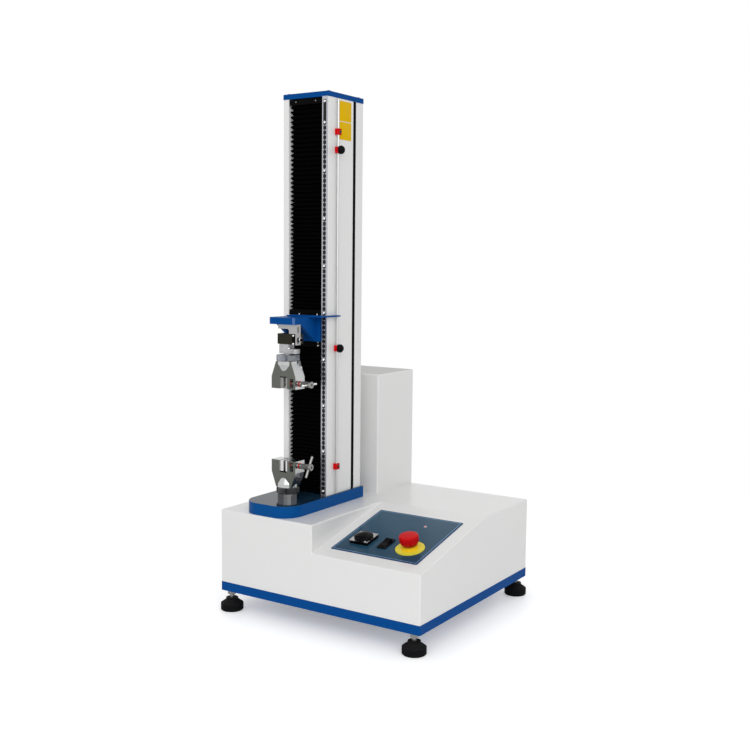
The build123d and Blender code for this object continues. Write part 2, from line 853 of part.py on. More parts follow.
# Loaded end of the cell: an offset foot with the stud that carries the upper grip
foot_block_width = 25.0
foot_depth = 20.0
foot_flange_height = 9.5
foot_block_height = 10.2
foot_flange_left = 16.0
foot_flange_right = 29.0
foot_round = 9.0
neck_stud = 16.0
ring_height = 13.4
ring_gap = 3.0
stud_engagement = 20.0
foot_top = cell_low
flange_top = foot_top - foot_block_height
flange_low = flange_top - foot_flange_height
upper_neck_z = flange_low - ring_gap - ring_height - slip_gap
with BuildPart() as cell_foot:
    bar_between(
        (axis_x - foot_flange_left, axis_y - foot_depth / 2, flange_low),
        (axis_x + foot_flange_right, axis_y + foot_depth / 2, flange_top),
    )
    fillet(cell_foot.edges().filter_by(Axis.Z).sort_by(Axis.X)[-2:], radius=foot_round)
    bar_between(
        (axis_x - foot_flange_left, axis_y - foot_depth / 2, flange_top),
        (axis_x - foot_flange_left + foot_block_width, axis_y + foot_depth / 2, foot_top),
    )
    with BuildSketch(Plane.XY.offset(flange_low)):
        with Locations((axis_x, axis_y)):
            Circle(neck_stud / 2)
    extrude(amount=upper_neck_z - stud_engagement - flange_low)
keep(cell_foot, "cell_foot")

# Lower adapter: a disc on the foot plate with a spigot below and a stud above
adapter_diameter = 45.0
adapter_height = 11.5
adapter_top = plate_z + adapter_height
lower_neck_z = adapter_top + ring_height + 2 * slip_gap
with BuildPart() as lower_adapter:
    with BuildSketch(Plane.XY.offset(plate_z)):
        with Locations((axis_x, axis_y)):
            Circle(adapter_diameter / 2)
    extrude(amount=adapter_height)
    with BuildSketch(Plane.XY.offset(plate_z)):
        with Locations((axis_x, axis_y)):
            Circle(spigot_diameter / 2)
    extrude(amount=-spigot_length)
    with BuildSketch(Plane.XY.offset(adapter_top)):
        with Locations((axis_x, axis_y)):
            Circle(neck_stud / 2)
    extrude(amount=lower_neck_z + stud_engagement - adapter_top)
keep(lower_adapter, "lower_adapter")

# Vice grips: the same grip twice, the upper one upside down
grip_width = 64.0
grip_depth = 32.0
grip_height = 58.5
grip_upright = 25.5
neck_width = 40.0
neck_boss = 45.0
boss_rise = 7.5
cone_rise = 17.0
cone_end = 28.0
slot_width = 20.0
slot_height = 26.0
slot_fillet = 2.4
window_near = 16.6
window_width = 9.4
window_start = 3.0
window_height = 19.5
screw_level = 11.0
jaw_depth = 28.0
jaw_height = 23.0
fixed_jaw_thickness = 8.5
moving_jaw_thickness = 5.0
ring_diameter = 50.0
ring_edge = 2.0
ring_holes = 6
ring_hole = 6.0
shank_diameter = 10.0
nose_diameter = 8.0
nose_length = 3.0
barrel_diameter = 12.4
barrel_length = 20.5
barrel_collar = 14.0
barrel_collar_length = 4.0
barrel_hole = 5.0
washer_thickness = 1.2
jaw_travel = 5.0
bar_diameter = 5.0
bar_length = 49.0
bar_from_end = 6.5
bar_tilt_lower = -28.0
bar_tilt_upper = 90.0
bar_edge = 1.0
barrel_start = grip_width / 2 + washer_thickness + jaw_travel + slip_gap
barrel_end = barrel_start + barrel_length


def grip(neck_z, sign, name, bar_tilt):
    """One grip. sign is +1 where its open end points up and -1 where it points down."""
    end_z = neck_z + sign * grip_height
    screw_z = end_z - sign * screw_level

    def level(depth):
        return end_z - sign * depth

    def block(x_low, x_high, depth, height, thickness, mode=Mode.ADD):
        z_low, z_high = sorted((level(depth), level(depth + height)))
        return bar_between(
            (axis_x + x_low, axis_y - thickness / 2, z_low),
            (axis_x + x_high, axis_y + thickness / 2, z_high),
            mode,
        )

    def along_screw(x):
        return Plane(origin=(axis_x + x, axis_y, screw_z), x_dir=(0, 1, 0), z_dir=(1, 0, 0))

    with BuildPart() as body:
        with BuildSketch(Plane.XZ.offset(-axis_y - grip_depth / 2)):
            with BuildLine():
                Polyline(
                    (axis_x - grip_width / 2, level(0)),
                    (axis_x + grip_width / 2, level(0)),
                    (axis_x + grip_width / 2, level(grip_upright)),
                    (axis_x + neck_width / 2, neck_z),
                    (axis_x - neck_width / 2, neck_z),
                    (axis_x - grip_width / 2, level(grip_upright)),
                    close=True,
                )
            make_face()
        extrude(amount=grip_depth)
        with BuildSketch(Plane(origin=(axis_x, axis_y, 0), x_dir=(1, 0, 0), z_dir=(0, -1, 0))):
            with BuildLine():
                Polyline(
                    (0, neck_z),
                    (neck_boss / 2, neck_z),
                    (neck_boss / 2, neck_z + sign * boss_rise),
                    (cone_end / 2, neck_z + sign * (boss_rise + cone_rise)),
                    (0, neck_z + sign * (boss_rise + cone_rise)),
                    close=True,
                )
            make_face()
        revolve(axis=Axis((axis_x, axis_y, 0), (0, 0, 1)))
        block(-slot_width / 2, slot_width / 2, -overrun, slot_height + overrun, 2 * grip_depth, Mode.SUBTRACT)
        slot_corners = body.edges().filter_by(Axis.Y).filter_by(
            lambda e: abs(e.center().Z - level(slot_height)) < slip_gap
            and abs(e.center().X - axis_x) < grip_upright / 2
        )
        fillet(slot_corners, radius=slot_fillet)
        window_end = window_near + window_width
        block(window_near, window_end, window_start, window_height, 2 * grip_depth, Mode.SUBTRACT)
        with Locations(along_screw(0)):
            Cylinder(
                shank_diameter / 2 + running_gap,
                grip_width,
                align=(Align.CENTER, Align.CENTER, Align.MIN),
                mode=Mode.SUBTRACT,
            )
        with BuildSketch(Plane.XY.offset(neck_z)):
            with Locations((axis_x, axis_y)):
                Circle(neck_stud / 2 + running_gap)
        extrude(amount=sign * (stud_engagement + seat_gap), mode=Mode.SUBTRACT)
    keep(body, f"{name}_grip_body")

    with BuildPart() as fixed_jaw:
        block(-slot_width / 2, fixed_jaw_thickness - slot_width / 2, seat_gap, jaw_height, jaw_depth)
    keep(fixed_jaw, f"{name}_fixed_jaw")

    jaw_back = slot_width / 2 - seat_gap
    socket_floor = jaw_back - nose_length - slip_gap
    with BuildPart() as moving_jaw:
        block(jaw_back - moving_jaw_thickness, jaw_back, seat_gap, jaw_height, jaw_depth)
        with Locations(along_screw(socket_floor)):
            Cylinder(
                nose_diameter / 2 + running_gap,
                slot_width,
                align=(Align.CENTER, Align.CENTER, Align.MIN),
                mode=Mode.SUBTRACT,
            )
    keep(moving_jaw, f"{name}_moving_jaw")

    shank_start = jaw_back + slip_gap
    bar_x = axis_x + barrel_end + barrel_collar_length - bar_from_end
    bar_place = Location((bar_x, axis_y, screw_z), (bar_tilt, 0, 0))
    with BuildPart() as screw:
        for start, end, diameter in (
            (jaw_back - nose_length, shank_start, nose_diameter),
            (shank_start, barrel_start, shank_diameter),
            (barrel_start, barrel_end, barrel_diameter),
            (barrel_end, barrel_end + barrel_collar_length, barrel_collar),
        ):
            with Locations(along_screw(start)):
                Cylinder(diameter / 2, end - start, align=(Align.CENTER, Align.CENTER, Align.MIN))
        with Locations(along_screw(barrel_end)):
            Cylinder(
                barrel_hole / 2,
                barrel_collar_length,
                align=(Align.CENTER, Align.CENTER, Align.MIN),
                mode=Mode.SUBTRACT,
            )
        with Locations(bar_place):
            Cylinder(bar_diameter / 2 + running_gap, 2 * barrel_collar, mode=Mode.SUBTRACT)
    keep(screw, f"{name}_grip_screw")

    with BuildPart() as bar:
        with Locations(bar_place):
            Cylinder(bar_diameter / 2, bar_length)
        chamfer(bar.edges().filter_by(GeomType.CIRCLE), length=bar_edge)
    keep(bar, f"{name}_tommy_bar")

    ring_z = neck_z - sign * (slip_gap + ring_height / 2)
    with BuildPart() as lock_ring:
        with BuildSketch(Plane.XY.offset(ring_z - ring_height / 2)):
            with Locations((axis_x, axis_y)):
                Circle(ring_diameter / 2)
                Circle(neck_stud / 2 + running_gap, mode=Mode.SUBTRACT)
        extrude(amount=ring_height)
        rims = lock_ring.edges().filter_by(GeomType.CIRCLE).sort_by(SortBy.RADIUS)[-2:]
        chamfer(rims, length=ring_edge)
        with BuildSketch(Plane.XY.offset(ring_z - ring_height / 2)):
            with Locations((axis_x, axis_y)):
                with PolarLocations(ring_diameter / 2, ring_holes):
                    Circle(ring_hole / 2)
        extrude(amount=ring_height, mode=Mode.SUBTRACT)
    keep(lock_ring, f"{name}_lock_ring")


grip(lower_neck_z, 1, "lower", bar_tilt_lower)
grip(upper_neck_z, -1, "upper", bar_tilt_upper)

# Control panel on the sloping desk, with an opening for each control
estop_x = 55.7
estop_y = -43.5
selector_x = -56.8
selector_y = -41.0
rocker_x = -1.9
rocker_y = -42.5
barrel_tube = 22.0
disc_diameter = 60.0
disc_thickness = 2.0
collar_diameter = 34.0
collar_height = 6.0
tube_length = 30.0
contact_block = 30.0
contact_block_height = 25.0
button_stem = 16.0
button_low = 12.0
button_height = 19.5
button_skirt = 17.0
button_widest = 19.8
button_skirt_height = 6.0
button_edge = 3.0
button_crown = 1.0
button_travel = 4.0
selector_plate_size = 45.0
selector_plate_height = 6.5
selector_body = 40.0
selector_body_depth = 35.0
selector_corner = 3.0
selector_knob_diameter = 40.0
selector_knob_edge = 3.0
selector_knob_crown = 4.5
selector_flutes = 16
selector_flute = 2.0
selector_shaft = 8.0
selector_shaft_length = 20.0
rocker_width = 20.5
rocker_length = 41.0
rocker_bezel_height = 3.0
rocker_body_depth = 24.0
rocker_opening_width = 14.0
rocker_opening_length = 30.0
rocker_wall = 1.5
rocker_corner = 1.5
fit_gap = 0.2


def panel_place(x, y, height=0.0):
    """A plane on the panel's face, or at a height above it, centred on one control."""
    place = panel_plane.offset(height)
    return Plane(origin=place.from_local_coords((x, y, 0)), x_dir=place.x_dir, z_dir=place.z_dir)


with BuildPart() as control_panel:
    with BuildSketch(desk_plane):
        RectangleRounded(panel_width, panel_length, cover_edge)
        with Locations((estop_x, estop_y)):
            Circle(barrel_tube / 2 + fit_gap, mode=Mode.SUBTRACT)
        with Locations((selector_x, selector_y)):
            Rectangle(selector_body + fit_gap, selector_body + fit_gap, mode=Mode.SUBTRACT)
        with Locations((rocker_x, rocker_y)):
            Rectangle(
                rocker_opening_width + 2 * rocker_wall + fit_gap,
                rocker_opening_length + 2 * rocker_wall + fit_gap,
                mode=Mode.SUBTRACT,
            )
    extrude(amount=panel_thickness)
keep(control_panel, "control_panel")

with BuildPart() as estop_disc:
    with BuildSketch(panel_place(estop_x, estop_y)):
        Circle(disc_diameter / 2)
        Circle(barrel_tube / 2 + fit_gap, mode=Mode.SUBTRACT)
    extrude(amount=disc_thickness)
keep(estop_disc, "estop_disc")

with BuildPart() as estop_body:
    with BuildSketch(panel_place(estop_x, estop_y, disc_thickness)):
        Circle(collar_diameter / 2)
    extrude(amount=collar_height)
    with BuildSketch(panel_place(estop_x, estop_y, disc_thickness)):
        Circle(barrel_tube / 2)
    extrude(amount=-tube_length)
    with BuildSketch(panel_place(estop_x, estop_y, disc_thickness - tube_length)):
        RectangleRounded(contact_block, contact_block, rocker_corner)
    extrude(amount=-contact_block_height)
    with BuildSketch(panel_place(estop_x, estop_y, disc_thickness + collar_height)):
        Circle(button_stem / 2 + running_gap)
    extrude(amount=-tube_length - collar_height, mode=Mode.SUBTRACT)
keep(estop_body, "estop_body")

stem_low = disc_thickness - tube_length + button_travel + seat_gap
button_socket = button_height / 2
with BuildPart() as estop_stem:
    with BuildSketch(panel_place(estop_x, estop_y, stem_low)):
        Circle(button_stem / 2)
    extrude(amount=button_low + button_socket - stem_low)
keep(estop_stem, "estop_stem")

button_axis = panel_place(estop_x, estop_y)
button_shoulder = button_low + button_height - button_crown
with BuildPart() as estop_cap:
    with BuildSketch(Plane(origin=button_axis.origin, x_dir=(1, 0, 0), z_dir=-button_axis.y_dir)):
        with BuildLine():
            Polyline(
                (0, button_low + button_height),
                (0, button_low + button_socket + slip_gap),
                (button_stem / 2 + running_gap, button_low + button_socket + slip_gap),
                (button_stem / 2 + running_gap, button_low),
                (button_skirt, button_low),
                (button_widest, button_low + button_skirt_height),
                (button_widest, button_shoulder - button_edge),
            )
            RadiusArc(
                (button_widest, button_shoulder - button_edge),
                (button_widest - button_edge, button_shoulder),
                -button_edge,
            )
            RadiusArc(
                (button_widest - button_edge, button_shoulder),
                (0, button_low + button_height),
                -dome_radius(button_widest - button_edge, button_crown),
            )
        make_face()
    revolve(axis=Axis(button_axis.origin, button_axis.z_dir))
keep(estop_cap, "estop_cap")

# Selector: a square escutcheon with its switch body below, and a low domed knob with a fluted edge
with BuildPart() as selector_plate:
    with BuildSketch(panel_place(selector_x, selector_y)):
        RectangleRounded(selector_plate_size, selector_plate_size, selector_corner)
    extrude(amount=selector_plate_height)
    with BuildSketch(panel_place(selector_x, selector_y)):
        Rectangle(selector_body, selector_body)
    extrude(amount=-selector_body_depth)
    with BuildSketch(panel_place(selector_x, selector_y, selector_plate_height)):
        Circle(selector_shaft / 2 + running_gap)
    extrude(amount=-selector_shaft_length - selector_plate_height - seat_gap, mode=Mode.SUBTRACT)
keep(selector_plate, "selector_plate")

with BuildPart() as selector_knob:
    knob_low = selector_plate_height + slip_gap
    knob_axis = panel_place(selector_x, selector_y, knob_low)
    knob_radius = selector_knob_diameter / 2
    with BuildSketch(Plane(origin=knob_axis.origin, x_dir=(1, 0, 0), z_dir=-knob_axis.y_dir)):
        with BuildLine():
            Polyline(
                (0, selector_knob_edge + selector_knob_crown),
                (0, 0),
                (knob_radius, 0),
                (knob_radius, selector_knob_edge),
            )
            RadiusArc(
                (knob_radius, selector_knob_edge),
                (0, selector_knob_edge + selector_knob_crown),
                -dome_radius(knob_radius, selector_knob_crown),
            )
        make_face()
    revolve(axis=Axis(knob_axis.origin, knob_axis.z_dir))
    with BuildSketch(knob_axis):
        with PolarLocations(knob_radius + selector_flute / 2, selector_flutes):
            Circle(selector_flute)
    extrude(amount=selector_knob_edge + selector_knob_crown, mode=Mode.SUBTRACT)
    with BuildSketch(panel_place(selector_x, selector_y, knob_low)):
        Circle(selector_shaft / 2)
    extrude(amount=-selector_shaft_length)
keep(selector_knob, "selector_knob")

# Rocker switch: a bezel with its box below, and a paddle that tips on two pivots in its walls
paddle_pivot = 4.0
pivot_diameter = 3.0
pivot_reach = 1.0
rocker_axis = panel_place(rocker_x, rocker_y, -paddle_pivot)
with BuildPart() as rocker_bezel:
    with BuildSketch(panel_place(rocker_x, rocker_y)):
        RectangleRounded(rocker_width, rocker_length, rocker_corner)
    extrude(amount=rocker_bezel_height)
    with BuildSketch(panel_place(rocker_x, rocker_y)):
        Rectangle(rocker_opening_width + 2 * rocker_wall, rocker_opening_length + 2 * rocker_wall)
    extrude(amount=-rocker_body_depth)
    with BuildSketch(panel_place(rocker_x, rocker_y, rocker_bezel_height)):
        Rectangle(rocker_opening_width, rocker_opening_length)
    extrude(amount=-rocker_body_depth - rocker_bezel_height + rocker_wall, mode=Mode.SUBTRACT)
    with BuildSketch(Plane(origin=rocker_axis.origin, x_dir=rocker_axis.y_dir, z_dir=rocker_axis.x_dir)):
        Circle(pivot_diameter / 2 + running_gap)
    extrude(amount=rocker_opening_width / 2 + pivot_reach + running_gap, both=True, mode=Mode.SUBTRACT)
keep(rocker_bezel, "rocker_bezel")

paddle_angle = 8.0
paddle_half_length = 13.6
paddle_middle = 4.2
paddle_foot = 4.0
paddle_hub = 4.0
with BuildPart() as rocker_paddle:
    up_slope = rocker_axis.y_dir.rotate(Axis((0, 0, 0), rocker_axis.x_dir), paddle_angle)
    tipped = Plane(origin=rocker_axis.origin, x_dir=up_slope, z_dir=rocker_axis.x_dir)
    rise = paddle_half_length * sin(radians(paddle_angle))
    with BuildSketch(tipped):
        with BuildLine():
            Polyline(
                (-paddle_half_length, paddle_pivot + paddle_middle + rise),
                (0, paddle_pivot + paddle_middle),
                (paddle_half_length, paddle_pivot + paddle_middle + rise),
                (paddle_half_length, paddle_pivot),
                (paddle_foot, -paddle_hub),
                (-paddle_foot, -paddle_hub),
                (-paddle_half_length, paddle_pivot),
                close=True,
            )
        make_face()
    extrude(amount=rocker_opening_width / 2 - fit_gap, both=True)
    with BuildSketch(Plane(origin=rocker_axis.origin, x_dir=rocker_axis.y_dir, z_dir=rocker_axis.x_dir)):
        Circle(pivot_diameter / 2)
    extrude(amount=rocker_opening_width / 2 + pivot_reach, both=True)
keep(rocker_paddle, "rocker_paddle")

# Servo drive on the tray floor: a box with cooling fins on its right side
drive_left = 30.0
drive_front = 20.0
drive_box_width = 60.0
drive_box_depth = 170.0
drive_box_height = 150.0
drive_fins = 9
drive_fin_height = 14.0
drive_fin_thickness = 3.0
drive_rim = 3.0
floor_z = tray_z + sheet
with BuildPart() as servo_drive:
    bar_between(
        (drive_left, drive_front, floor_z),
        (drive_left + drive_box_width, drive_front + drive_box_depth, floor_z + drive_box_height),
    )
    fin_step = (drive_box_depth - drive_fin_thickness) / (drive_fins - 1)
    for fin in range(drive_fins):
        fin_y = drive_front + fin * fin_step
        bar_between(
            (drive_left + drive_box_width, fin_y, floor_z + drive_rim),
            (
                drive_left + drive_box_width + drive_fin_height,
                fin_y + drive_fin_thickness,
                floor_z + drive_box_height - drive_rim,
            ),
        )
keep(servo_drive, "servo_drive")

# Controller board on the rear wall: pillars, board, chips and the data socket
board_width = 100.0
board_height = 52.0
board_thickness = 1.6
board_drop = 30.0
pillar_length = 10.0
pillar_diameter = 6.0
pillar_inset = 5.0
processor_size = 24.0
processor_thickness = 3.0
processor_x = -28.0
processor_z = 6.0
relay_length = 18.0
relay_width = 12.0
relay_height = 8.0
relay_x = -24.0
terminal_length = 24.0
terminal_width = 10.0
terminal_height = 12.0
terminal_x = 20.0
lower_row_z = -15.0
wall_inside = back_y - cover_inset - sheet
board_rear = wall_inside - pillar_length
board_z = port_z - board_drop + board_height / 2
with BuildPart() as controller_board:
    with BuildSketch(Plane.XZ.offset(-board_rear)):
        with Locations((port_x, board_z)):
            Rectangle(board_width, board_height)
    extrude(amount=board_thickness)
    with BuildSketch(Plane.XZ.offset(-wall_inside)):
        with Locations((port_x, board_z)):
            with GridLocations(board_width - 2 * pillar_inset, board_height - 2 * pillar_inset, 2, 2):
                Circle(pillar_diameter / 2)
    extrude(amount=pillar_length)
    with BuildSketch(Plane.XZ.offset(-back_y + cover_inset)):
        with Locations((port_x, port_z)):
            Rectangle(port_width - 2 * fit_gap, port_height - 2 * fit_gap)
    extrude(amount=pillar_length + sheet)
    for across, along, height, x, z in (
        (processor_size, processor_size, processor_thickness, processor_x, processor_z),
        (relay_length, relay_width, relay_height, relay_x, lower_row_z),
        (terminal_length, terminal_width, terminal_height, terminal_x, lower_row_z),
    ):
        with BuildSketch(Plane.XZ.offset(board_thickness - board_rear)):
            with Locations((port_x + x, board_z + z)):
                Rectangle(across, along)
        extrude(amount=height)
keep(controller_board, "controller_board")

# Mains inlet in the rear wall: a flange outside, a body inside and three pins in its recess
inlet_flange = 5.0
inlet_flange_thickness = 2.0
inlet_body_depth = 25.0
inlet_wall = 1.8
inlet_recess = 16.0
inlet_chamfer = 4.0
pin_width = 4.0
pin_thickness = 2.0
pin_spread = 7.0
pin_rise = 2.0
pin_back = 2.5
inlet_plane = Plane(origin=(inlet_x, back_y - cover_inset, inlet_z), x_dir=(-1, 0, 0), z_dir=(0, 1, 0))
with BuildPart() as power_inlet:
    with BuildSketch(inlet_plane):
        RectangleRounded(inlet_width + 2 * inlet_flange, inlet_height + 2 * inlet_flange, rocker_corner)
    extrude(amount=inlet_flange_thickness)
    with BuildSketch(inlet_plane):
        Rectangle(inlet_width - 2 * fit_gap, inlet_height - 2 * fit_gap)
    extrude(amount=-inlet_body_depth)
    with BuildSketch(inlet_plane.offset(inlet_flange_thickness)):
        recess = Rectangle(inlet_width - 2 * inlet_wall, inlet_height - 2 * inlet_wall)
        chamfer(recess.vertices().sort_by(Axis.Y)[:2], length=inlet_chamfer)
    extrude(amount=-inlet_recess - inlet_flange_thickness, mode=Mode.SUBTRACT)
    with BuildSketch(inlet_plane.offset(-inlet_recess)):
        with Locations((-pin_spread, -pin_rise), (0, pin_rise), (pin_spread, -pin_rise)):
            Rectangle(pin_thickness, pin_width)
    extrude(amount=inlet_recess - pin_back)
keep(power_inlet, "power_inlet")
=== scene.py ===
from math import atan2, cos, pi, radians, sin, sqrt

import bmesh
import bpy
from mathutils import Matrix, Vector
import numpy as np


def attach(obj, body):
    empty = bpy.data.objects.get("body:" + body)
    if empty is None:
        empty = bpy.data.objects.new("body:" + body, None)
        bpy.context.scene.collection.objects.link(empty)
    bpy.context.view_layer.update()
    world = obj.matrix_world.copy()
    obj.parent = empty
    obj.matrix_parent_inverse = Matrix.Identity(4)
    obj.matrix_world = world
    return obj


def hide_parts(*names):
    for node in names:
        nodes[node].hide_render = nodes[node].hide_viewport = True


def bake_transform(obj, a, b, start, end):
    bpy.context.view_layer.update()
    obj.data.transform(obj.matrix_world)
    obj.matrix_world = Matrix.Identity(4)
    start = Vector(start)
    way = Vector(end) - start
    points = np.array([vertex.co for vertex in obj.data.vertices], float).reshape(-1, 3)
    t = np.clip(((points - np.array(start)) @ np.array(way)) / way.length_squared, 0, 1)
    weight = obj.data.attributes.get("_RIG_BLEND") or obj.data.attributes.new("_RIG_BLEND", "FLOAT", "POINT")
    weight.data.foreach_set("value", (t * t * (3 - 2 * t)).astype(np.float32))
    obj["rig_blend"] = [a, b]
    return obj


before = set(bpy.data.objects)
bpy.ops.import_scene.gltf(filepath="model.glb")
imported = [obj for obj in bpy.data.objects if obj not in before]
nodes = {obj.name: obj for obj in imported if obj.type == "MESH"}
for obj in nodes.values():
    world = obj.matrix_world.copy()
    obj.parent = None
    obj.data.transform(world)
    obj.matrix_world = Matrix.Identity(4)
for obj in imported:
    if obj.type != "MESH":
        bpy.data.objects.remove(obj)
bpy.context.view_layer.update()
mm = 0.001
right = Vector((1, 0, 0))
ahead = Vector((0, -1, 0))
behind = Vector((0, 1, 0))
above = Vector((0, 0, 1))

# Places of the CAD model, in millimetres

axis_x, axis_y = -134.0, -153.0
column_left, column_right = -193.75, -74.25
plate_top, cap_low, cap_top = 246.5, 1099.0, 1110.0
head_low, head_top = 583.0, 636.5
upper_screw_z, lower_screw_z = 495.8, 319.5
grip_side, grip_half_depth = -102.0, 16.0
knurl_left, knurl_right = -95.3, -75.2
foot_x, foot_y = 231.0, 225.0
rear_face_y = 237.2
data_socket_x, data_socket_z = 110.0, 96.0
scale_x, scale_y, scale_start = -81.6, -95.2, 1040.0
desk_rise, desk_run = 59.0, 262.0
desk_slope = atan2(desk_rise, desk_run)
desk_front_y, desk_front_z = -237.4, 162.5
panel_x, panel_up_slope, panel_thickness = 119.3, 131.0, 1.0
panel_half_width, panel_half_length = 102.5, 97.5
panel_middle = Vector((
    panel_x,
    desk_front_y + panel_up_slope * cos(desk_slope),
    desk_front_z + panel_up_slope * sin(desk_slope) + panel_thickness,
))
panel_matrix = Matrix.Translation(panel_middle * mm) @ Matrix.Rotation(desk_slope, 4, "X")
estop_spot, selector_spot, lamp_spot = (55.7, -43.5), (-56.8, -41.0), (34.5, 54.7)


# Shader node groups

dust_color = (0.55, 0.53, 0.5, 1.0)
# What cloudiness, dust and hairlines add to the roughness, and how deep a hairline is
cloud_gloss, dust_gloss, line_gloss, line_depth = 0.35, 0.5, 0.15, 0.3


def add_node(tree, kind, values=None, **settings):
    """A node with its settings, and its sockets set to a value or linked from another socket."""
    made = tree.nodes.new(kind)
    for name, value in settings.items():
        setattr(made, name, value)
    for name, value in (values or {}).items():
        socket = made.inputs[name]
        if isinstance(value, bpy.types.NodeSocket):
            tree.links.new(value, socket)
        else:
            socket.default_value = value
    return made


def math_node(tree, operation, first, second=0.0, clamp=False, third=0.0):
    values = {0: first, 1: second, 2: third}
    return add_node(tree, "ShaderNodeMath", values, operation=operation, use_clamp=clamp).outputs[0]


def mix_colors(tree, share, first, second):
    return add_node(
        tree, "ShaderNodeMix", {0: share, 6: first, 7: second}, data_type="RGBA"
    ).outputs[2]


def object_place(tree):
    return add_node(tree, "ShaderNodeTexCoord").outputs["Object"]


def stretched(tree, place, scale, rotation=(0.0, 0.0, 0.0)):
    values = {"Vector": place, "Rotation": rotation, "Scale": scale}
    return add_node(tree, "ShaderNodeMapping", values).outputs["Vector"]


def noise(tree, place, scale, detail, roughness):
    values = {"Vector": place, "Scale": scale, "Detail": detail, "Roughness": roughness}
    return add_node(tree, "ShaderNodeTexNoise", values).outputs["Fac"]


def new_group(name, inputs, outputs):
    """An empty node group with typed sockets, and its input and output nodes."""
    tree = bpy.data.node_groups.new(name, "ShaderNodeTree")
    kinds = {"color": "NodeSocketColor", "float": "NodeSocketFloat", "vector": "NodeSocketVector"}
    for socket_name, kind in inputs:
        tree.interface.new_socket(socket_name, in_out="INPUT", socket_type=kinds[kind])
    for socket_name, kind in outputs:
        tree.interface.new_socket(socket_name, in_out="OUTPUT", socket_type=kinds[kind])
    return tree, tree.nodes.new("NodeGroupInput"), tree.nodes.new("NodeGroupOutput")


def build_finish_group():
    """Grain, cloudy gloss, settled dust and fine hairlines over one base colour."""
    tree, given, out = new_group(
        "shop_finish",
        [
            ("Color", "color"),
            ("Roughness", "float"),
            ("Grain Scale", "float"),
            ("Grain Depth", "float"),
            ("Cloudiness", "float"),
            ("Dust", "float"),
            ("Hairlines", "float"),
        ],
        [("Color", "color"), ("Roughness", "float"), ("Height", "float")],
    )
    place = object_place(tree)
    cloud = noise(tree, place, 9.0, 4.0, 0.6)
    grain = noise(tree, place, given.outputs["Grain Scale"], 2.0, 0.5)
    slanted = stretched(tree, place, (9.0, 420.0, 70.0), (0.4, 0.3, 0.9))
    lines = noise(tree, slanted, 1.0, 3.0, 0.7)
    line_mask = add_node(
        tree, "ShaderNodeMapRange", {"Value": lines, "From Min": 0.64, "From Max": 0.74}
    ).outputs["Result"]
    line_share = math_node(tree, "MULTIPLY", line_mask, given.outputs["Hairlines"])
    normal = add_node(tree, "ShaderNodeNewGeometry").outputs["Normal"]
    upward = add_node(tree, "ShaderNodeSeparateXYZ", {"Vector": normal}).outputs["Z"]
    specks = noise(tree, place, 55.0, 6.0, 0.75)
    settled = math_node(tree, "MULTIPLY", upward, specks, clamp=True)
    settled = math_node(tree, "MULTIPLY", settled, given.outputs["Dust"])
    clouded = math_node(tree, "MULTIPLY", cloud, given.outputs["Cloudiness"])
    shaded = add_node(
        tree,
        "ShaderNodeHueSaturation",
        {"Color": given.outputs["Color"], "Value": 0.82, "Saturation": 1.02},
    ).outputs["Color"]
    tinted = mix_colors(tree, clouded, given.outputs["Color"], shaded)
    dusted = mix_colors(tree, settled, tinted, dust_color)
    tree.links.new(dusted, out.inputs["Color"])
    rough = math_node(tree, "MULTIPLY", clouded, cloud_gloss)
    rough = math_node(tree, "ADD", rough, given.outputs["Roughness"])
    rough = math_node(tree, "ADD", rough, math_node(tree, "MULTIPLY", settled, dust_gloss))
    rough = math_node(tree, "ADD", rough, math_node(tree, "MULTIPLY", line_share, line_gloss), clamp=True)
    tree.links.new(rough, out.inputs["Roughness"])
    height = math_node(tree, "MULTIPLY", grain, given.outputs["Grain Depth"])
    height = math_node(tree, "SUBTRACT", height, math_node(tree, "MULTIPLY", line_share, line_depth))
    tree.links.new(height, out.inputs["Height"])
    return tree


def build_ground_group():
    """Grinding marks: noise drawn out across the given stretch, for gloss and relief."""
    tree, given, out = new_group(
        "ground_marks",
        [("Stretch", "vector"), ("Roughness", "float"), ("Contrast", "float")],
        [("Roughness", "float"), ("Height", "float"), ("Shade", "float")],
    )
    place = object_place(tree)
    marks = noise(tree, stretched(tree, place, given.outputs["Stretch"]), 1.0, 5.0, 0.65)
    broad = noise(tree, place, 40.0, 3.0, 0.6)
    contrast = given.outputs["Contrast"]
    swing = math_node(tree, "MULTIPLY", math_node(tree, "SUBTRACT", marks, 0.5), contrast)
    slow = math_node(tree, "MULTIPLY", math_node(tree, "SUBTRACT", broad, 0.5), contrast)
    rough = math_node(tree, "ADD", given.outputs["Roughness"], swing)
    rough = math_node(tree, "ADD", rough, slow, clamp=True)
    tree.links.new(rough, out.inputs["Roughness"])
    tree.links.new(marks, out.inputs["Height"])
    tree.links.new(math_node(tree, "ADD", swing, slow), out.inputs["Shade"])
    return tree


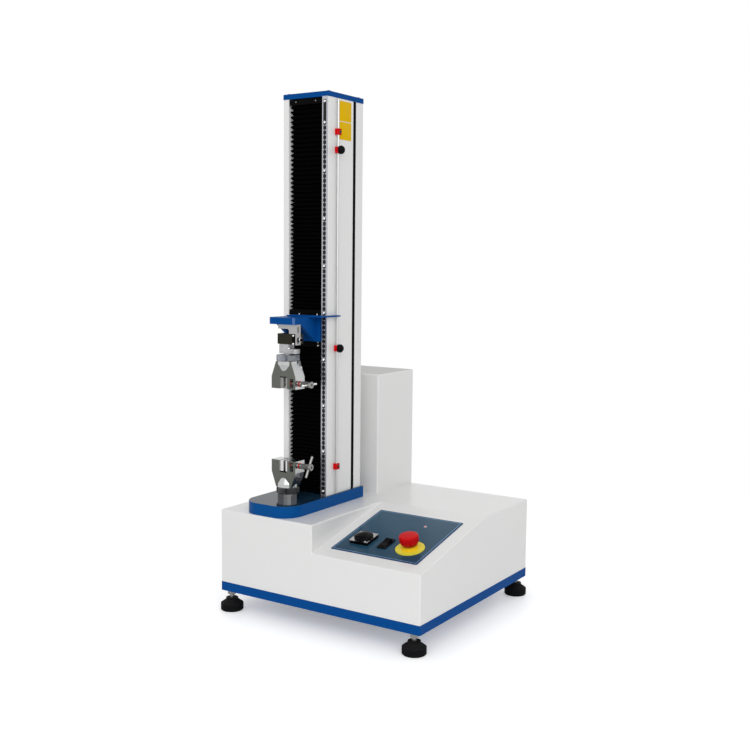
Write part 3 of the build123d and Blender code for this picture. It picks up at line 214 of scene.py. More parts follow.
def build_knurl_group():
    """Ridges round an axis: straight ones, or diamonds where they also run along it."""
    tree, given, out = new_group(
        "turned_ridges",
        [("Centre", "vector"), ("Turn", "vector"), ("Ridges", "float"), ("Lead", "float")],
        [("Height", "float")],
    )
    offset = add_node(
        tree,
        "ShaderNodeVectorMath",
        {0: object_place(tree), 1: given.outputs["Centre"]},
        operation="SUBTRACT",
    ).outputs["Vector"]
    turned_place = add_node(
        tree,
        "ShaderNodeVectorRotate",
        {"Vector": offset, "Rotation": given.outputs["Turn"]},
        rotation_type="EULER_XYZ",
        invert=True,
    ).outputs["Vector"]
    split = add_node(tree, "ShaderNodeSeparateXYZ", {"Vector": turned_place})
    angle = math_node(tree, "ARCTAN2", split.outputs["Y"], split.outputs["X"])
    around = math_node(tree, "MULTIPLY", angle, math_node(tree, "MULTIPLY", given.outputs["Ridges"], 0.5))
    along = math_node(tree, "MULTIPLY", split.outputs["Z"], given.outputs["Lead"])
    waves = [
        math_node(tree, "ABSOLUTE", math_node(tree, "SINE", math_node(tree, slant, around, along)))
        for slant in ("ADD", "SUBTRACT")
    ]
    tree.links.new(math_node(tree, "MULTIPLY", *waves), out.inputs["Height"])
    return tree


finish_group = build_finish_group()
ground_group = build_ground_group()
knurl_group = build_knurl_group()


# Materials

coat_roughness = 0.06
# Shares of a metal's colour in its dark and light marks and in the valleys between ridges
dark_share, light_share, valley_share = 0.7, 1.2, 0.3
# The panel's dark strip is this wide, and its light line starts here, in millimetres
strip_width, line_start = 4.6, 3.4
# The scale's marks: how close, how thick against their spacing, and how far from its middle
marks_per_metre, mark_share = 100.0, 0.27
mark_inner, mark_outer = 1.5, 3.6


def start_material(name, metallic=0.0, coat=0.0, specular=0.5):
    material = bpy.data.materials.new(name)
    material.use_nodes = True
    tree = material.node_tree
    shader = tree.nodes["Principled BSDF"]
    shader.inputs["Metallic"].default_value = metallic
    shader.inputs["Coat Weight"].default_value = coat
    shader.inputs["Coat Roughness"].default_value = coat_roughness
    shader.inputs["Specular IOR Level"].default_value = specular
    return material, tree, shader


def add_bump(tree, shader, height, distance):
    bump = add_node(tree, "ShaderNodeBump", {"Height": height, "Distance": distance, "Strength": 1.0})
    tree.links.new(bump.outputs["Normal"], shader.inputs["Normal"])


def use_group(tree, group, values):
    """The outputs of a group node, its sockets set or linked by name."""
    return add_node(tree, "ShaderNodeGroup", values, node_tree=group).outputs


def scaled(color, share):
    """A colour made darker or lighter, with its alpha."""
    return (*[min(1.0, share * channel) for channel in color], 1.0)


def coated(name, color, roughness, grain_scale, grain_depth, cloudiness=0.25, dust=0.05, hairlines=0.1,
           specular=0.5, coat=0.0, bump=0.0002, ridges=None):
    """Paint, plastic or rubber: a colour through the shop finish group, with ridges if it has any."""
    material, tree, shader = start_material(name, 0.0, coat, specular)
    finish = use_group(
        tree,
        finish_group,
        {
            "Color": (*color, 1.0) if isinstance(color, tuple) else color(tree),
            "Roughness": roughness,
            "Grain Scale": grain_scale,
            "Grain Depth": grain_depth,
            "Cloudiness": cloudiness,
            "Dust": dust,
            "Hairlines": hairlines,
        },
    )
    tree.links.new(finish["Color"], shader.inputs["Base Color"])
    tree.links.new(finish["Roughness"], shader.inputs["Roughness"])
    height = finish["Height"]
    if ridges:
        height = math_node(tree, "ADD", height, use_group(tree, knurl_group, ridges)["Height"])
    add_bump(tree, shader, height, bump)
    return material


def ground_metal(name, color, roughness, stretch, contrast=0.12, bump=0.00004, shade=0.35, ridges=None):
    """Bare metal with grinding or turning marks, knurled if it has ridges."""
    material, tree, shader = start_material(name, metallic=1.0)
    marks = use_group(
        tree, ground_group, {"Stretch": stretch, "Roughness": roughness, "Contrast": contrast}
    )
    share = math_node(tree, "MULTIPLY_ADD", marks["Shade"], shade, third=0.5)
    base = mix_colors(tree, share, scaled(color, dark_share), scaled(color, light_share))
    height = marks["Height"]
    if ridges:
        height = use_group(tree, knurl_group, ridges)["Height"]
        base = mix_colors(tree, height, scaled(color, valley_share), base)
    tree.links.new(base, shader.inputs["Base Color"])
    tree.links.new(marks["Roughness"], shader.inputs["Roughness"])
    add_bump(tree, shader, height, bump)
    return material


def ridges_round(centre, turn, count, lead=0.0):
    return {"Centre": Vector(centre) * mm, "Turn": turn, "Ridges": float(count), "Lead": lead}


def panel_color(tree):
    """Blue-grey and paler towards the rear, a painted reflection; the dark strip along the edges ends in a
    light line.
    """
    local = add_node(
        tree,
        "ShaderNodeMapping",
        {
            "Vector": object_place(tree),
            "Location": panel_matrix.translation,
            "Rotation": (desk_slope, 0.0, 0.0),
        },
        vector_type="TEXTURE",
    ).outputs["Vector"]
    split = add_node(tree, "ShaderNodeSeparateXYZ", {"Vector": local})
    across = math_node(
        tree, "SUBTRACT", panel_half_width * mm, math_node(tree, "ABSOLUTE", split.outputs["X"])
    )
    along = math_node(
        tree, "SUBTRACT", panel_half_length * mm, math_node(tree, "ABSOLUTE", split.outputs["Y"])
    )
    inside = math_node(tree, "MINIMUM", across, along)
    strip = math_node(tree, "LESS_THAN", inside, strip_width * mm)
    line = math_node(tree, "MULTIPLY", strip, math_node(tree, "GREATER_THAN", inside, line_start * mm))
    per_length = 1.0 / (2 * panel_half_length * mm)
    # Paler towards the rear: a painted reflection across the panel
    upward = math_node(tree, "MULTIPLY_ADD", split.outputs["Y"], per_length, clamp=True, third=0.5)
    foil = mix_colors(tree, upward, (0.008, 0.052, 0.1, 1.0), (0.036, 0.094, 0.155, 1.0))
    base = mix_colors(tree, strip, foil, (0.004, 0.03, 0.13, 1.0))
    return mix_colors(tree, line, base, (0.2, 0.42, 0.58, 1.0))


def scale_color(tree):
    """Black with a pair of light marks every ten millimetres, below the rail's second screw."""
    split = add_node(tree, "ShaderNodeSeparateXYZ", {"Vector": object_place(tree)})
    down = math_node(tree, "SUBTRACT", scale_start * mm, split.outputs["Z"])
    step = math_node(tree, "FRACT", math_node(tree, "MULTIPLY", down, marks_per_metre))
    marked = math_node(tree, "LESS_THAN", step, mark_share)
    marked = math_node(tree, "MULTIPLY", marked, math_node(tree, "GREATER_THAN", down, 0.0))
    aside = math_node(tree, "ABSOLUTE", math_node(tree, "SUBTRACT", split.outputs["X"], scale_x * mm))
    marked = math_node(tree, "MULTIPLY", marked, math_node(tree, "GREATER_THAN", aside, mark_inner * mm))
    marked = math_node(tree, "MULTIPLY", marked, math_node(tree, "LESS_THAN", aside, mark_outer * mm))
    return mix_colors(tree, marked, (0.006, 0.006, 0.007, 1.0), (0.5, 0.52, 0.56, 1.0))


flat_turn = (0.0, 0.0, 0.0)
side_turn = (0.0, pi / 2, 0.0)
slope_turn = (desk_slope, 0.0, 0.0)
estop_centre = panel_matrix @ (Vector((*estop_spot, 0.0)) * mm) / mm
white_coat = coated(
    "white_powder_coat", (0.78, 0.78, 0.775), 0.34, 700.0, 0.4, cloudiness=0.1, dust=0.03, coat=0.45
)
blue_coat = coated(
    "blue_enamel", (0.002, 0.066, 0.27), 0.3, 700.0, 0.3, dust=0.02, specular=0.03, bump=0.0001
)
# Glossier and lighter blue for rounded upright edges: real gloss, and a painted highlight in its lighter
# colour
edge_gloss_and_painted_highlight = coated("blue_enamel_edges_painted_highlight", (0.004, 0.09, 0.32), 0.16, 700.0, 0.1, dust=0.0, specular=0.8)
# Lighter white for the channel's inner side walls: painted light where they lie in shade
channel_painted_light = coated("channel_painted_light", (0.93, 0.93, 0.93), 0.4, 700.0, 0.3, cloudiness=0.1, dust=0.0)
plate_gloss = coated(
    "polished_blue_enamel", (0.001, 0.072, 0.27), 0.08, 700.0, 0.06, dust=0.02, specular=0.05
)
# Near black for the polished top of the foot plate: a painted dark reflection
plate_top_gloss_painted_dark = coated(
    "polished_plate_top_painted_dark", (0.003, 0.022, 0.045), 0.04, 700.0, 0.04, dust=0.02, specular=0.12
)
housing_top_paint = coated(
    "housing_top_paint", (0.5, 0.5, 0.49), 0.34, 700.0, 0.5, cloudiness=0.3, dust=0.05
)
panel_coat = coated(
    "panel_foil", panel_color, 0.1, 900.0, 0.05, cloudiness=0.3, dust=0.02, specular=0.1
)
pleated_cloth = coated(
    "coated_bellows_cloth", (0.0015, 0.0016, 0.0017), 0.75, 2500.0, 1.0,
    cloudiness=0.5, dust=0.0, specular=0.02,
)
rubber = coated(
    "moulded_rubber", (0.007, 0.007, 0.008), 0.55, 900.0, 1.0, cloudiness=0.5, dust=0.02, specular=0.04
)
groove_black = coated("groove_black", (0.002, 0.002, 0.003), 0.5, 900.0, 0.6, dust=0.0, specular=0.02)
black_plastic = coated(
    "black_plastic", (0.003, 0.003, 0.004), 0.1, 1200.0, 0.1, dust=0.0, specular=0.05
)
red_plastic = coated("red_plastic", (0.6, 0.004, 0.006), 0.2, 900.0, 0.1, dust=0.0, specular=0.06)
red_ribbed = coated(
    "red_ribbed_plastic", (0.6, 0.004, 0.006), 0.2, 900.0, 0.1, dust=0.0, specular=0.08,
    bump=0.0012, ridges=ridges_round(estop_centre, slope_turn, 44),
)
yellow_plastic = coated(
    "yellow_plastic", (0.84, 0.72, 0.045), 0.35, 900.0, 0.3, cloudiness=0.2, dust=0.02, specular=0.2
)
orange_plastic = coated(
    "orange_yellow_plastic", (0.84, 0.56, 0.014), 0.35, 900.0, 0.3, cloudiness=0.2, specular=0.2
)
orange_band = coated("orange_band", (0.8, 0.13, 0.02), 0.4, 900.0, 0.3, cloudiness=0.2, specular=0.2)
yellow_sheet = coated(
    "yellow_sheet", (0.8, 0.49, 0.003), 0.3, 900.0, 0.2, cloudiness=0.3, dust=0.0, specular=0.03
)
cast_paint = coated("grey_primer", (0.12, 0.125, 0.13), 0.5, 500.0, 1.0, cloudiness=0.5, dust=0.3)
motor_paint = coated(
    "black_motor_paint", (0.012, 0.012, 0.012), 0.4, 500.0, 1.0, cloudiness=0.4, dust=0.2
)
board_lacquer = coated("board_lacquer", (0.01, 0.12, 0.04), 0.3, 900.0, 0.3, cloudiness=0.4, dust=0.1)
scale_black = coated("black_scale", scale_color, 0.35, 900.0, 0.1, dust=0.01, specular=0.2)
potting_black = coated("black_potting", (0.003, 0.003, 0.003), 0.5, 900.0, 0.5, dust=0.0, specular=0.02)
mark_white = coated("white_mark", (0.8, 0.8, 0.8), 0.4, 900.0, 0.2, dust=0.0)
red_lens = coated("red_lens", (0.7, 0.02, 0.02), 0.1, 900.0, 0.05, dust=0.0, coat=0.6)
# Dark steel for the grips' flat fronts and backs: a painted dark reflection
grip_front_painted_dark = ground_metal(
    "grip_front_painted_reflection", (0.135, 0.14, 0.125), 0.42, (900.0, 90.0, 900.0), contrast=0.3
)
polished_steel = ground_metal(
    "polished_steel", (0.55, 0.56, 0.56), 0.16, (60.0, 60.0, 900.0), contrast=0.12
)
bright_steel = ground_metal(
    "bright_steel", (0.72, 0.72, 0.72), 0.22, (90.0, 90.0, 1200.0), contrast=0.15
)
# Dark for a turned metal: a painted dark reflection on the lower adapter
turned_steel_painted_dark = ground_metal(
    "turned_steel_painted_dark", (0.33, 0.33, 0.33), 0.08, (40.0, 40.0, 2500.0), contrast=0.1
)
satin_steel = ground_metal("satin_steel", (0.58, 0.58, 0.58), 0.38, (60.0, 60.0, 900.0), contrast=0.1)
chrome = ground_metal("chromed_steel", (0.85, 0.85, 0.85), 0.08, (80.0, 80.0, 80.0), contrast=0.06)
cell_steel = ground_metal(
    "nickel_plate", (0.029, 0.028, 0.02), 0.38, (200.0, 900.0, 900.0), contrast=0.3
)
milled_aluminium = ground_metal(
    "milled_aluminium", (0.42, 0.42, 0.42), 0.45, (900.0, 120.0, 900.0), contrast=0.35
)
rail_aluminium = ground_metal(
    "rail_aluminium", (0.5, 0.51, 0.55), 0.35, (500.0, 500.0, 40.0), contrast=0.2
)
blasted_aluminium = ground_metal(
    "blasted_aluminium", (0.46, 0.46, 0.47), 0.5, (420.0, 420.0, 420.0),
    contrast=1.3, bump=0.0007, shade=2.2,
)
zinc_steel = ground_metal("zinc_plate", (0.3, 0.3, 0.29), 0.3, (300.0, 300.0, 300.0), contrast=0.2)
# The lock rings' colours are painted reflections: bright blue-grey on the upper ring, near black on the
# lower one
ring_steel_painted_reflection = {
    level: ground_metal(
        f"{level}_knurled_ring_painted_reflection", color, 0.3, (300.0, 300.0, 300.0), bump=0.0008,
        ridges=ridges_round((axis_x, axis_y, 0.0), flat_turn, 110, 1400.0),
    )
    for level, color in (("upper", (0.6, 0.63, 0.69)), ("lower", (0.16, 0.16, 0.165)))
}
barrel_steel = {
    level: ground_metal(
        f"{level}_barrel_steel", (0.3, 0.31, 0.3), 0.3, (300.0, 300.0, 300.0), bump=0.0005,
        ridges=ridges_round((0.0, axis_y, height), side_turn, 44, 1600.0),
    )
    for level, height in (("upper", upper_screw_z), ("lower", lower_screw_z))
}
jaw_steel = ground_metal(
    "serrated_steel", (0.8, 0.8, 0.8), 0.3, (20.0, 1500.0, 1500.0), contrast=0.3, bump=0.0006, shade=0.5
)


# CAD nodes and their materials

# A face looks along an axis when its normal has at least this much of it
facing = 0.9
channel_rear_y, channel_half_width = -50.0, 50.0
plate_rear_y, housing_top_z = 30.0, 490.0
escutcheon_level = 6.0
socket_front_y, socket_half_width, socket_half_height = 229.0, 10.5, 6.5
nut_level, stud_level, stud_radius = 27.2, 26.9, 4.5


def dress(name, *materials, choose=None):
    """Give a CAD node its materials; choose picks one by a face's centre, in millimetres, and normal."""
    mesh = nodes[name].data
    mesh.materials.clear()
    for material in materials:
        mesh.materials.append(material)
    for face in mesh.polygons:
        face.material_index = choose(face.center / mm, face.normal) if choose else 0


def grip_face(centre, normal):
    """The flat front and back of a grip get a dark steel, a painted dark reflection; everything else is
    polished.
    """
    return 0 if abs(abs(centre.y - axis_y) - grip_half_depth) < 0.3 and abs(normal.y) > facing else 1


def jaw_face(centre, normal):
    """The faces that clamp the work are serrated."""
    return 1 if abs(normal.x) > facing else 0


def screw_face(centre, normal):
    """The barrel is knurled between its ends; the shank and the collar are plain."""
    return 1 if knurl_left < centre.x < knurl_right and abs(normal.x) < 0.3 else 0


def cap_face(centre, normal):
    """The stop button's rim is ribbed; its top and underside are plain."""
    return 0 if abs(normal.dot(panel_matrix.col[2].to_3d())) > 0.5 else 1


def escutcheon_face(centre, normal):
    """The front of the selector's square plate is bright."""
    lift = (panel_matrix.inverted() @ (centre * mm)).z
    fronts = normal.dot(panel_matrix.col[2].to_3d()) > facing
    return 1 if lift > escutcheon_level * mm and fronts else 0


def is_upright_round(normal):
    """Whether a face is part of a rounded upright edge."""
    return min(abs(normal.x), abs(normal.y)) > 0.2


def arm_face(centre, normal):
    """The arm's rounded upright edges get a glossier and lighter blue: real gloss and a painted highlight.
    """
    return 1 if is_upright_round(normal) and abs(normal.z) < 0.1 else 0


def channel_face(centre, normal):
    """The side walls inside the column's front channel are painted lighter: painted light over their shade.
    """
    within = centre.y < channel_rear_y and abs(centre.x - axis_x) < channel_half_width
    return 1 if within and abs(normal.x) > facing else 0


def plate_face(centre, normal):
    """The foot plate's top is polished and painted darkest, a painted dark reflection, and its rear corners
    are rounded and get a lighter blue, a painted highlight.
    """
    if normal.z > facing:
        return 1
    return 2 if centre.y > plate_rear_y and is_upright_round(normal) else 0


def housing_face(centre, normal):
    """The motor housing's top is greyer than its sides."""
    return 1 if normal.z > facing and centre.z > housing_top_z else 0


def board_face(centre, normal):
    """The data socket stands in its opening in the rear wall."""
    aside, lift = abs(centre.x - data_socket_x), abs(centre.z - data_socket_z)
    near = aside < socket_half_width and lift < socket_half_height
    return 1 if near and centre.y > socket_front_y else 0


def foot_face(centre, normal):
    """Rubber below; the lock nut and the stud are plated."""
    aside = sqrt((abs(centre.x) - foot_x) ** 2 + (abs(centre.y) - foot_y) ** 2)
    return 1 if centre.z > nut_level or aside < stud_radius and centre.z > stud_level else 0


for names, material in (
    (("base_cover",), white_coat),
    (("base_tray", "column_cap", "striker_plate"), blue_coat),
    (("control_panel",), panel_coat),
    (("bed_frame", "servo_drive"), cast_paint),
    (("scale_rail",), rail_aluminium),
    (
        ("bearing_blocks", "crosshead_carriage", "cell_bracket", "screw_pulley", "motor_pulley"),
        milled_aluminium,
    ),
    (("cell_foot",), blasted_aluminium),
    (("bellows_upper", "bellows_lower"), pleated_cloth),
    (("guide_rods", "ball_nut", "ball_screw"), bright_steel),
    (("limit_rod",), satin_steel),
    (("motor",), motor_paint),
    (("timing_belt",), rubber),
    (("estop_disc",), yellow_plastic),
    (("estop_body",), orange_plastic),
    (
        ("rocker_bezel", "power_inlet", "knob_upper", "knob_lower", "estop_stem", "selector_knob",
         "rocker_paddle"),
        black_plastic,
    ),
    (("rod_clamps", "stop_upper", "stop_lower"), red_plastic),
    (("lower_adapter",), turned_steel_painted_dark),
    (("lower_tommy_bar",), zinc_steel),
    (("load_cell",), cell_steel),
    (("upper_tommy_bar",), chrome),
):
    for node_name in names:
        dress(node_name, material)
for level in ("upper", "lower"):
    dress(f"{level}_lock_ring", ring_steel_painted_reflection[level])
    dress(f"{level}_grip_body", grip_front_painted_dark, polished_steel, choose=grip_face)
    # The jaws' plain faces are painted: bright steel on the lower jaws as a painted highlight, darker zinc
    # steel on the upper jaws as painted shade
    jaw_side_painted_light = bright_steel if level == "lower" else zinc_steel
    for jaw in ("fixed", "moving"):
        dress(f"{level}_{jaw}_jaw", jaw_side_painted_light, jaw_steel, choose=jaw_face)
    dress(f"{level}_grip_screw", zinc_steel, barrel_steel[level], choose=screw_face)
dress("column_profile", white_coat, channel_painted_light, choose=channel_face)
dress("column_plate", plate_gloss, plate_top_gloss_painted_dark, edge_gloss_and_painted_highlight, choose=plate_face)
dress("motor_housing", white_coat, housing_top_paint, choose=housing_face)
dress("controller_board", board_lacquer, black_plastic, choose=board_face)
dress("crosshead_arm", blue_coat, edge_gloss_and_painted_highlight, choose=arm_face)
dress("estop_cap", red_plastic, red_ribbed, choose=cap_face)
dress("selector_plate", black_plastic, bright_steel, choose=escutcheon_face)
for corner in ("front_left", "front_right", "rear_left", "rear_right"):
    dress(f"foot_{corner}", rubber, zinc_steel, choose=foot_face)


# Piece helpers

# Points closer than this, in millimetres, become one
weld = 0.002
corner_steps = 6
# Shares of a screw head's diameter and height
rim_share, socket_share, socket_floor = 0.1, 0.28, 0.4
sharp_angle = radians(32)


def at(point, toward=above):
    """A place in millimetres whose local Z points the given way."""
    return Matrix.Translation(Vector(point) * mm) @ toward.to_track_quat("Z", "Y").to_matrix().to_4x4()


def on_panel(spot, height):
    return panel_matrix @ Matrix.Translation(Vector((*spot, height)) * mm)


def turned(profile, steps=32):
    """A body of revolution about Z from (radius, height) pairs."""
    part = bmesh.new()
    ring = [part.verts.new((radius * mm, 0.0, height * mm)) for radius, height in profile]
    edges = [part.edges.new(pair) for pair in zip(ring, ring[1:])]
    bmesh.ops.spin(
        part, geom=ring + edges, cent=(0, 0, 0), axis=(0, 0, 1), dvec=(0, 0, 0), angle=2 * pi,
        steps=steps, use_merge=True, use_duplicate=False,
    )
    bmesh.ops.remove_doubles(part, verts=part.verts[:], dist=weld * mm)
    return part


def soften(part, edges, width):
    bmesh.ops.bevel(
        part, geom=edges, offset=width * mm, offset_type="OFFSET", affect="EDGES", segments=2,
        profile=0.5, material=-1,
    )


def block(size, edge):
    """A box with rounded edges, centred on its place."""
    part = bmesh.new()
    bmesh.ops.create_cube(part, size=1.0)
    bmesh.ops.scale(part, vec=Vector(size) * mm, verts=part.verts)
    soften(part, part.edges[:], edge)
    return part


def rounded_plate(width, length, height, corner, edge=0.15):
    """A plate with round corners and a softened rim, standing on its place."""
    part = bmesh.new()
    for turn, (x_sign, y_sign) in enumerate(((1, 1), (-1, 1), (-1, -1), (1, -1))):
        for step in range(corner_steps + 1):
            angle = (turn + step / corner_steps) * pi / 2
            x = x_sign * (width / 2 - corner) + corner * cos(angle)
            y = y_sign * (length / 2 - corner) + corner * sin(angle)
            part.verts.new((x * mm, y * mm, 0.0))
    bmesh.ops.remove_doubles(part, verts=part.verts[:], dist=weld * mm)
    base = part.faces.new(part.verts[:])
    raised = bmesh.ops.extrude_face_region(part, geom=[base], use_keep_orig=True)["geom"]
    top = [item for item in raised if isinstance(item, bmesh.types.BMVert)]
    bmesh.ops.translate(part, vec=(0.0, 0.0, height * mm), verts=top)
    rim = [item for item in part.edges if all(point in top for point in item.verts)]
    soften(part, rim, edge)
    return part


def screw_head(diameter, height):
    """A cap screw's head: a chamfered rim and a hexagon socket."""
    radius, edge, socket = diameter / 2, rim_share * diameter, socket_share * diameter
    floor = socket_floor * height
    part = turned(
        [(0, floor), (socket, floor), (socket, height), (radius - edge, height),
         (radius, height - edge), (radius, 0), (0, 0)],
        steps=36,
    )
    for vertex in part.verts:
        aside = sqrt(vertex.co.x**2 + vertex.co.y**2)
        if 0.5 * socket * mm < aside < 1.1 * socket * mm:
            angle = atan2(vertex.co.y, vertex.co.x)
            flat = cos(pi / 6) / cos(angle % (pi / 3) - pi / 6)
            vertex.co.x, vertex.co.y = vertex.co.x * flat, vertex.co.y * flat
    return part


def add_object(name, data):
    made = bpy.data.objects.new(name, data)
    bpy.context.scene.collection.objects.link(made)
    return made


def make_piece(name, parts, material, body):
    """Join parts, each with its place, into one piece that rides on a body."""
    joined = bmesh.new()
    for part, place in parts:
        bmesh.ops.transform(part, matrix=place, verts=part.verts)
        carrier = bpy.data.meshes.new("carrier")
        part.to_mesh(carrier)
        part.free()
        joined.from_mesh(carrier)
        bpy.data.meshes.remove(carrier)
    bmesh.ops.recalc_face_normals(joined, faces=joined.faces[:])
    mesh = bpy.data.meshes.new(name)
    joined.to_mesh(mesh)
    joined.free()
    mesh.shade_smooth()
    mesh.set_sharp_from_angle(angle=sharp_angle)
    mesh.materials.append(material)
    piece = add_object(name, mesh)
    if body:
        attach(piece, body)
    return piece


# Column: groove strips, scale, plain plates and screws

groove_y, groove_length = 4.5, 851.5


def groove_strip(side, edge_x):
    """A black strip in a column groove, and the lip that covers the groove's edges."""
    middle = (plate_top + cap_low) / 2
    strip = block((3.2, 6.6, groove_length), 0.7)
    lip = block((0.8, 8.4, groove_length), 0.25)
    return [
        (strip, at((edge_x - 1.7 * side, groove_y, middle))),
        (lip, at((edge_x + 0.2 * side, groove_y, middle))),
    ]


make_piece(
    "groove_strips",
    groove_strip(1, column_right) + groove_strip(-1, column_left),
    groove_black, "base",
)
make_piece(
    "scale_strip",
    [(rounded_plate(8.0, 844.0, 0.9, 3.8), at((scale_x, scale_y, 671.0), ahead))],
    scale_black, "base",
)
# One screw near the rail's top, then one every 100 mm, and one at its foot
rail_levels = [1088.5] + [1045.0 - 100.0 * step for step in range(8)] + [257.0]
make_piece(
    "scale_screws",
    [(screw_head(5.4, 1.6), at((scale_x, -96.0, level), ahead)) for level in rail_levels],
    chrome, "base",
)
make_piece(
    "plain_plates",
    [
        (rounded_plate(45.0, 42.0, 0.4, 2.0), at((column_right, -31.5, 1073.8), right)),
        (rounded_plate(45.0, 37.5, 0.4, 2.0), at((column_right, -31.5, 1032.6), right)),
    ],
    yellow_sheet, "base",
)
make_piece(
    "clamp_screws",
    [(screw_head(6.0, 1.6), at((-65.25, -62.0, level), right)) for level in (1027.8, 308.2)],
    motor_paint, "base",
)
make_piece(
    "cap_screws",
    [
        (screw_head(8.5, 2.4), at((x, y, cap_top)))
        for x in (column_left + 8.0, column_right - 8.0) for y in (-82.0, 28.0)
    ],
    zinc_steel, "base",
)
make_piece(
    "rear_screws",
    [
        (screw_head(6.4, 1.8), at((x, rear_face_y, z), behind))
        for x, z in (
            (-203.0, 229.0), (-65.0, 229.0), (-203.0, 490.0), (-65.0, 490.0),
            (-238.0, 74.0), (0.0, 74.0), (238.0, 74.0), (-238.0, 212.0), (238.0, 212.0),
        )
    ],
    zinc_steel, "base",
)


# Bellows: coated cloth in rounded pleats, stretched between the channel's ends and the crosshead

pleat_pitch, pleat_depth, pleat_rear_y = 9.0, 13.4, -90.2
# How far a fold's outer points stand off, and how far its middle point is drawn in
fold_reach, fold_ease = 0.1, 0.04
cloth_left, cloth_width, cloth_thickness, cloth_columns = -177.6, 87.2, 0.5, 10
bow, wave = 0.5, 0.25
channel_y, end_strip_y, end_strip_front_y = -85.0, -91.8, -92.8


def pleat_line(low, high):
    """The curtain's section as (y, z) points: each fold is three points, so that it looks rolled over."""
    folds = round((high - low) / pleat_pitch)
    chain = []
    for step in range(2 * folds + 1):
        share = step / (2 * folds)
        # The folds lie closer together at the lower end
        level = low + (high - low) * share * (0.84 + 0.16 * share)
        chain.append(Vector((pleat_rear_y + (pleat_depth if step % 2 == 0 else 0.0), level)))
    line = [chain[0]]
    for before, here, after in zip(chain, chain[1:], chain[2:]):
        line += [
            here.lerp(before, fold_reach),
            here.lerp((before + after) / 2, fold_ease),
            here.lerp(after, fold_reach),
        ]
    return line + [chain[-1]]


def pleated_sheet(line):
    """Cloth along the section's points, a little bowed and uneven from side to side."""
    cloth = bmesh.new()
    rows = []
    for index, (y, z) in enumerate(line):
        row = []
        for column in range(cloth_columns + 1):
            share = column / cloth_columns
            x = cloth_left + cloth_width * share
            sag = bow * sin(pi * share) + wave * sin(index * 2.1 + column * 1.7)
            row.append(cloth.verts.new((x * mm, (y + 0.3 * sag) * mm, (z - 0.4 * sag) * mm)))
        rows.append(row)
    for lower, upper in zip(rows, rows[1:]):
        for column in range(cloth_columns):
            cloth.faces.new((lower[column], lower[column + 1], upper[column + 1], upper[column]))
    bmesh.ops.recalc_face_normals(cloth, faces=cloth.faces[:])
    bmesh.ops.solidify(cloth, geom=cloth.faces[:], thickness=cloth_thickness * mm)
    return cloth


def make_bellows(name, low, high, fixed, moving):
    """One cloth that replaces its CAD node and stretches from the base to the crosshead."""
    line = pleat_line(low, high)
    cloth = pleated_sheet(line)
    piece = make_piece(name, [(cloth, Matrix.Identity(4))], pleated_cloth, None)
    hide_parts(name.removesuffix("_cloth"))
    middle = (axis_x * mm, channel_y * mm)
    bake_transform(piece, "base", "crosshead", start=(*middle, fixed * mm), end=(*middle, moving * mm))
    weights = piece.data.attributes["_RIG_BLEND"].data
    for vertex, weight in zip(piece.data.vertices, weights):
        weight.value = min(1.0, max(0.0, (vertex.co.z / mm - fixed) / (moving - fixed)))


make_bellows("bellows_lower_cloth", plate_top + 0.5, head_low - 0.5, plate_top, head_low)
make_bellows("bellows_upper_cloth", head_top + 0.5, cap_low - 0.5, cap_low, head_top)
for spot, body, level, tall in (
    ("end", "base", 1091.5, 12.0),
    ("head", "crosshead", 576.3, 13.0),
    ("foot", "crosshead", 643.5, 13.0),
):
    make_piece(
        f"bellows_{spot}_strip",
        [(block((86.0, 2.0, tall), 0.6), at((axis_x, end_strip_y, level)))],
        potting_black, body,
    )
make_piece(
    "bellows_end_screws",
    [(screw_head(3.0, 1.0), at((x, end_strip_front_y, 1092.0), ahead)) for x in (-160.0, -108.0)],
    zinc_steel, "base",
)
make_piece(
    "bellows_foot_screws",
    [(screw_head(3.4, 1.2), at((x, end_strip_front_y, 640.8), ahead)) for x in (-149.8, -101.8)],
    chrome, "crosshead",
)


# Crosshead: screws, cell details and socket

cell_socket_place = at((-100.0, -159.5, 590.0), right)
make_piece(
    "arm_screws",
    [(screw_head(7.0, 4.0), at((-163.5, -111.0, head_top)))]
    + [(screw_head(3.4, 1.2), at((-99.5, end_strip_front_y, level), ahead)) for level in (580.8, 574.1)],
    chrome, "crosshead",
)
make_piece(
    "cell_band", [(block((9.0, 0.8, 21.6), 0.3), at((-109.5, -165.1, 590.8)))],
    potting_black, "crosshead",
)
make_piece(
    "cell_screws",
    [(screw_head(4.4, 1.3), at((-110.5, -165.4, level), ahead)) for level in (598.6, 581.5)]
    + [(screw_head(4.4, 1.6), at((-124.0, -163.0, 571.0), ahead))],
    chrome, "crosshead",
)
make_piece(
    "cell_socket",
    [(
        turned([
            (0, 0), (4.6, 0), (4.6, 3.0), (3.8, 3.4), (3.8, 7.0), (3.2, 7.6), (2.6, 7.6), (2.6, 4.5),
            (0, 4.5),
        ]),
        cell_socket_place,
    )],
    black_plastic, "crosshead",
)
make_piece(
    "cell_socket_nut",
    [(
        turned([(3.9, 3.0), (5.2, 3.0), (5.2, 4.8), (4.9, 5.1), (3.9, 5.1), (3.9, 3.0)], steps=6),
        cell_socket_place,
    )],
    chrome, "crosshead",
)


# Grips: red washers and orange bands on the clamping screws

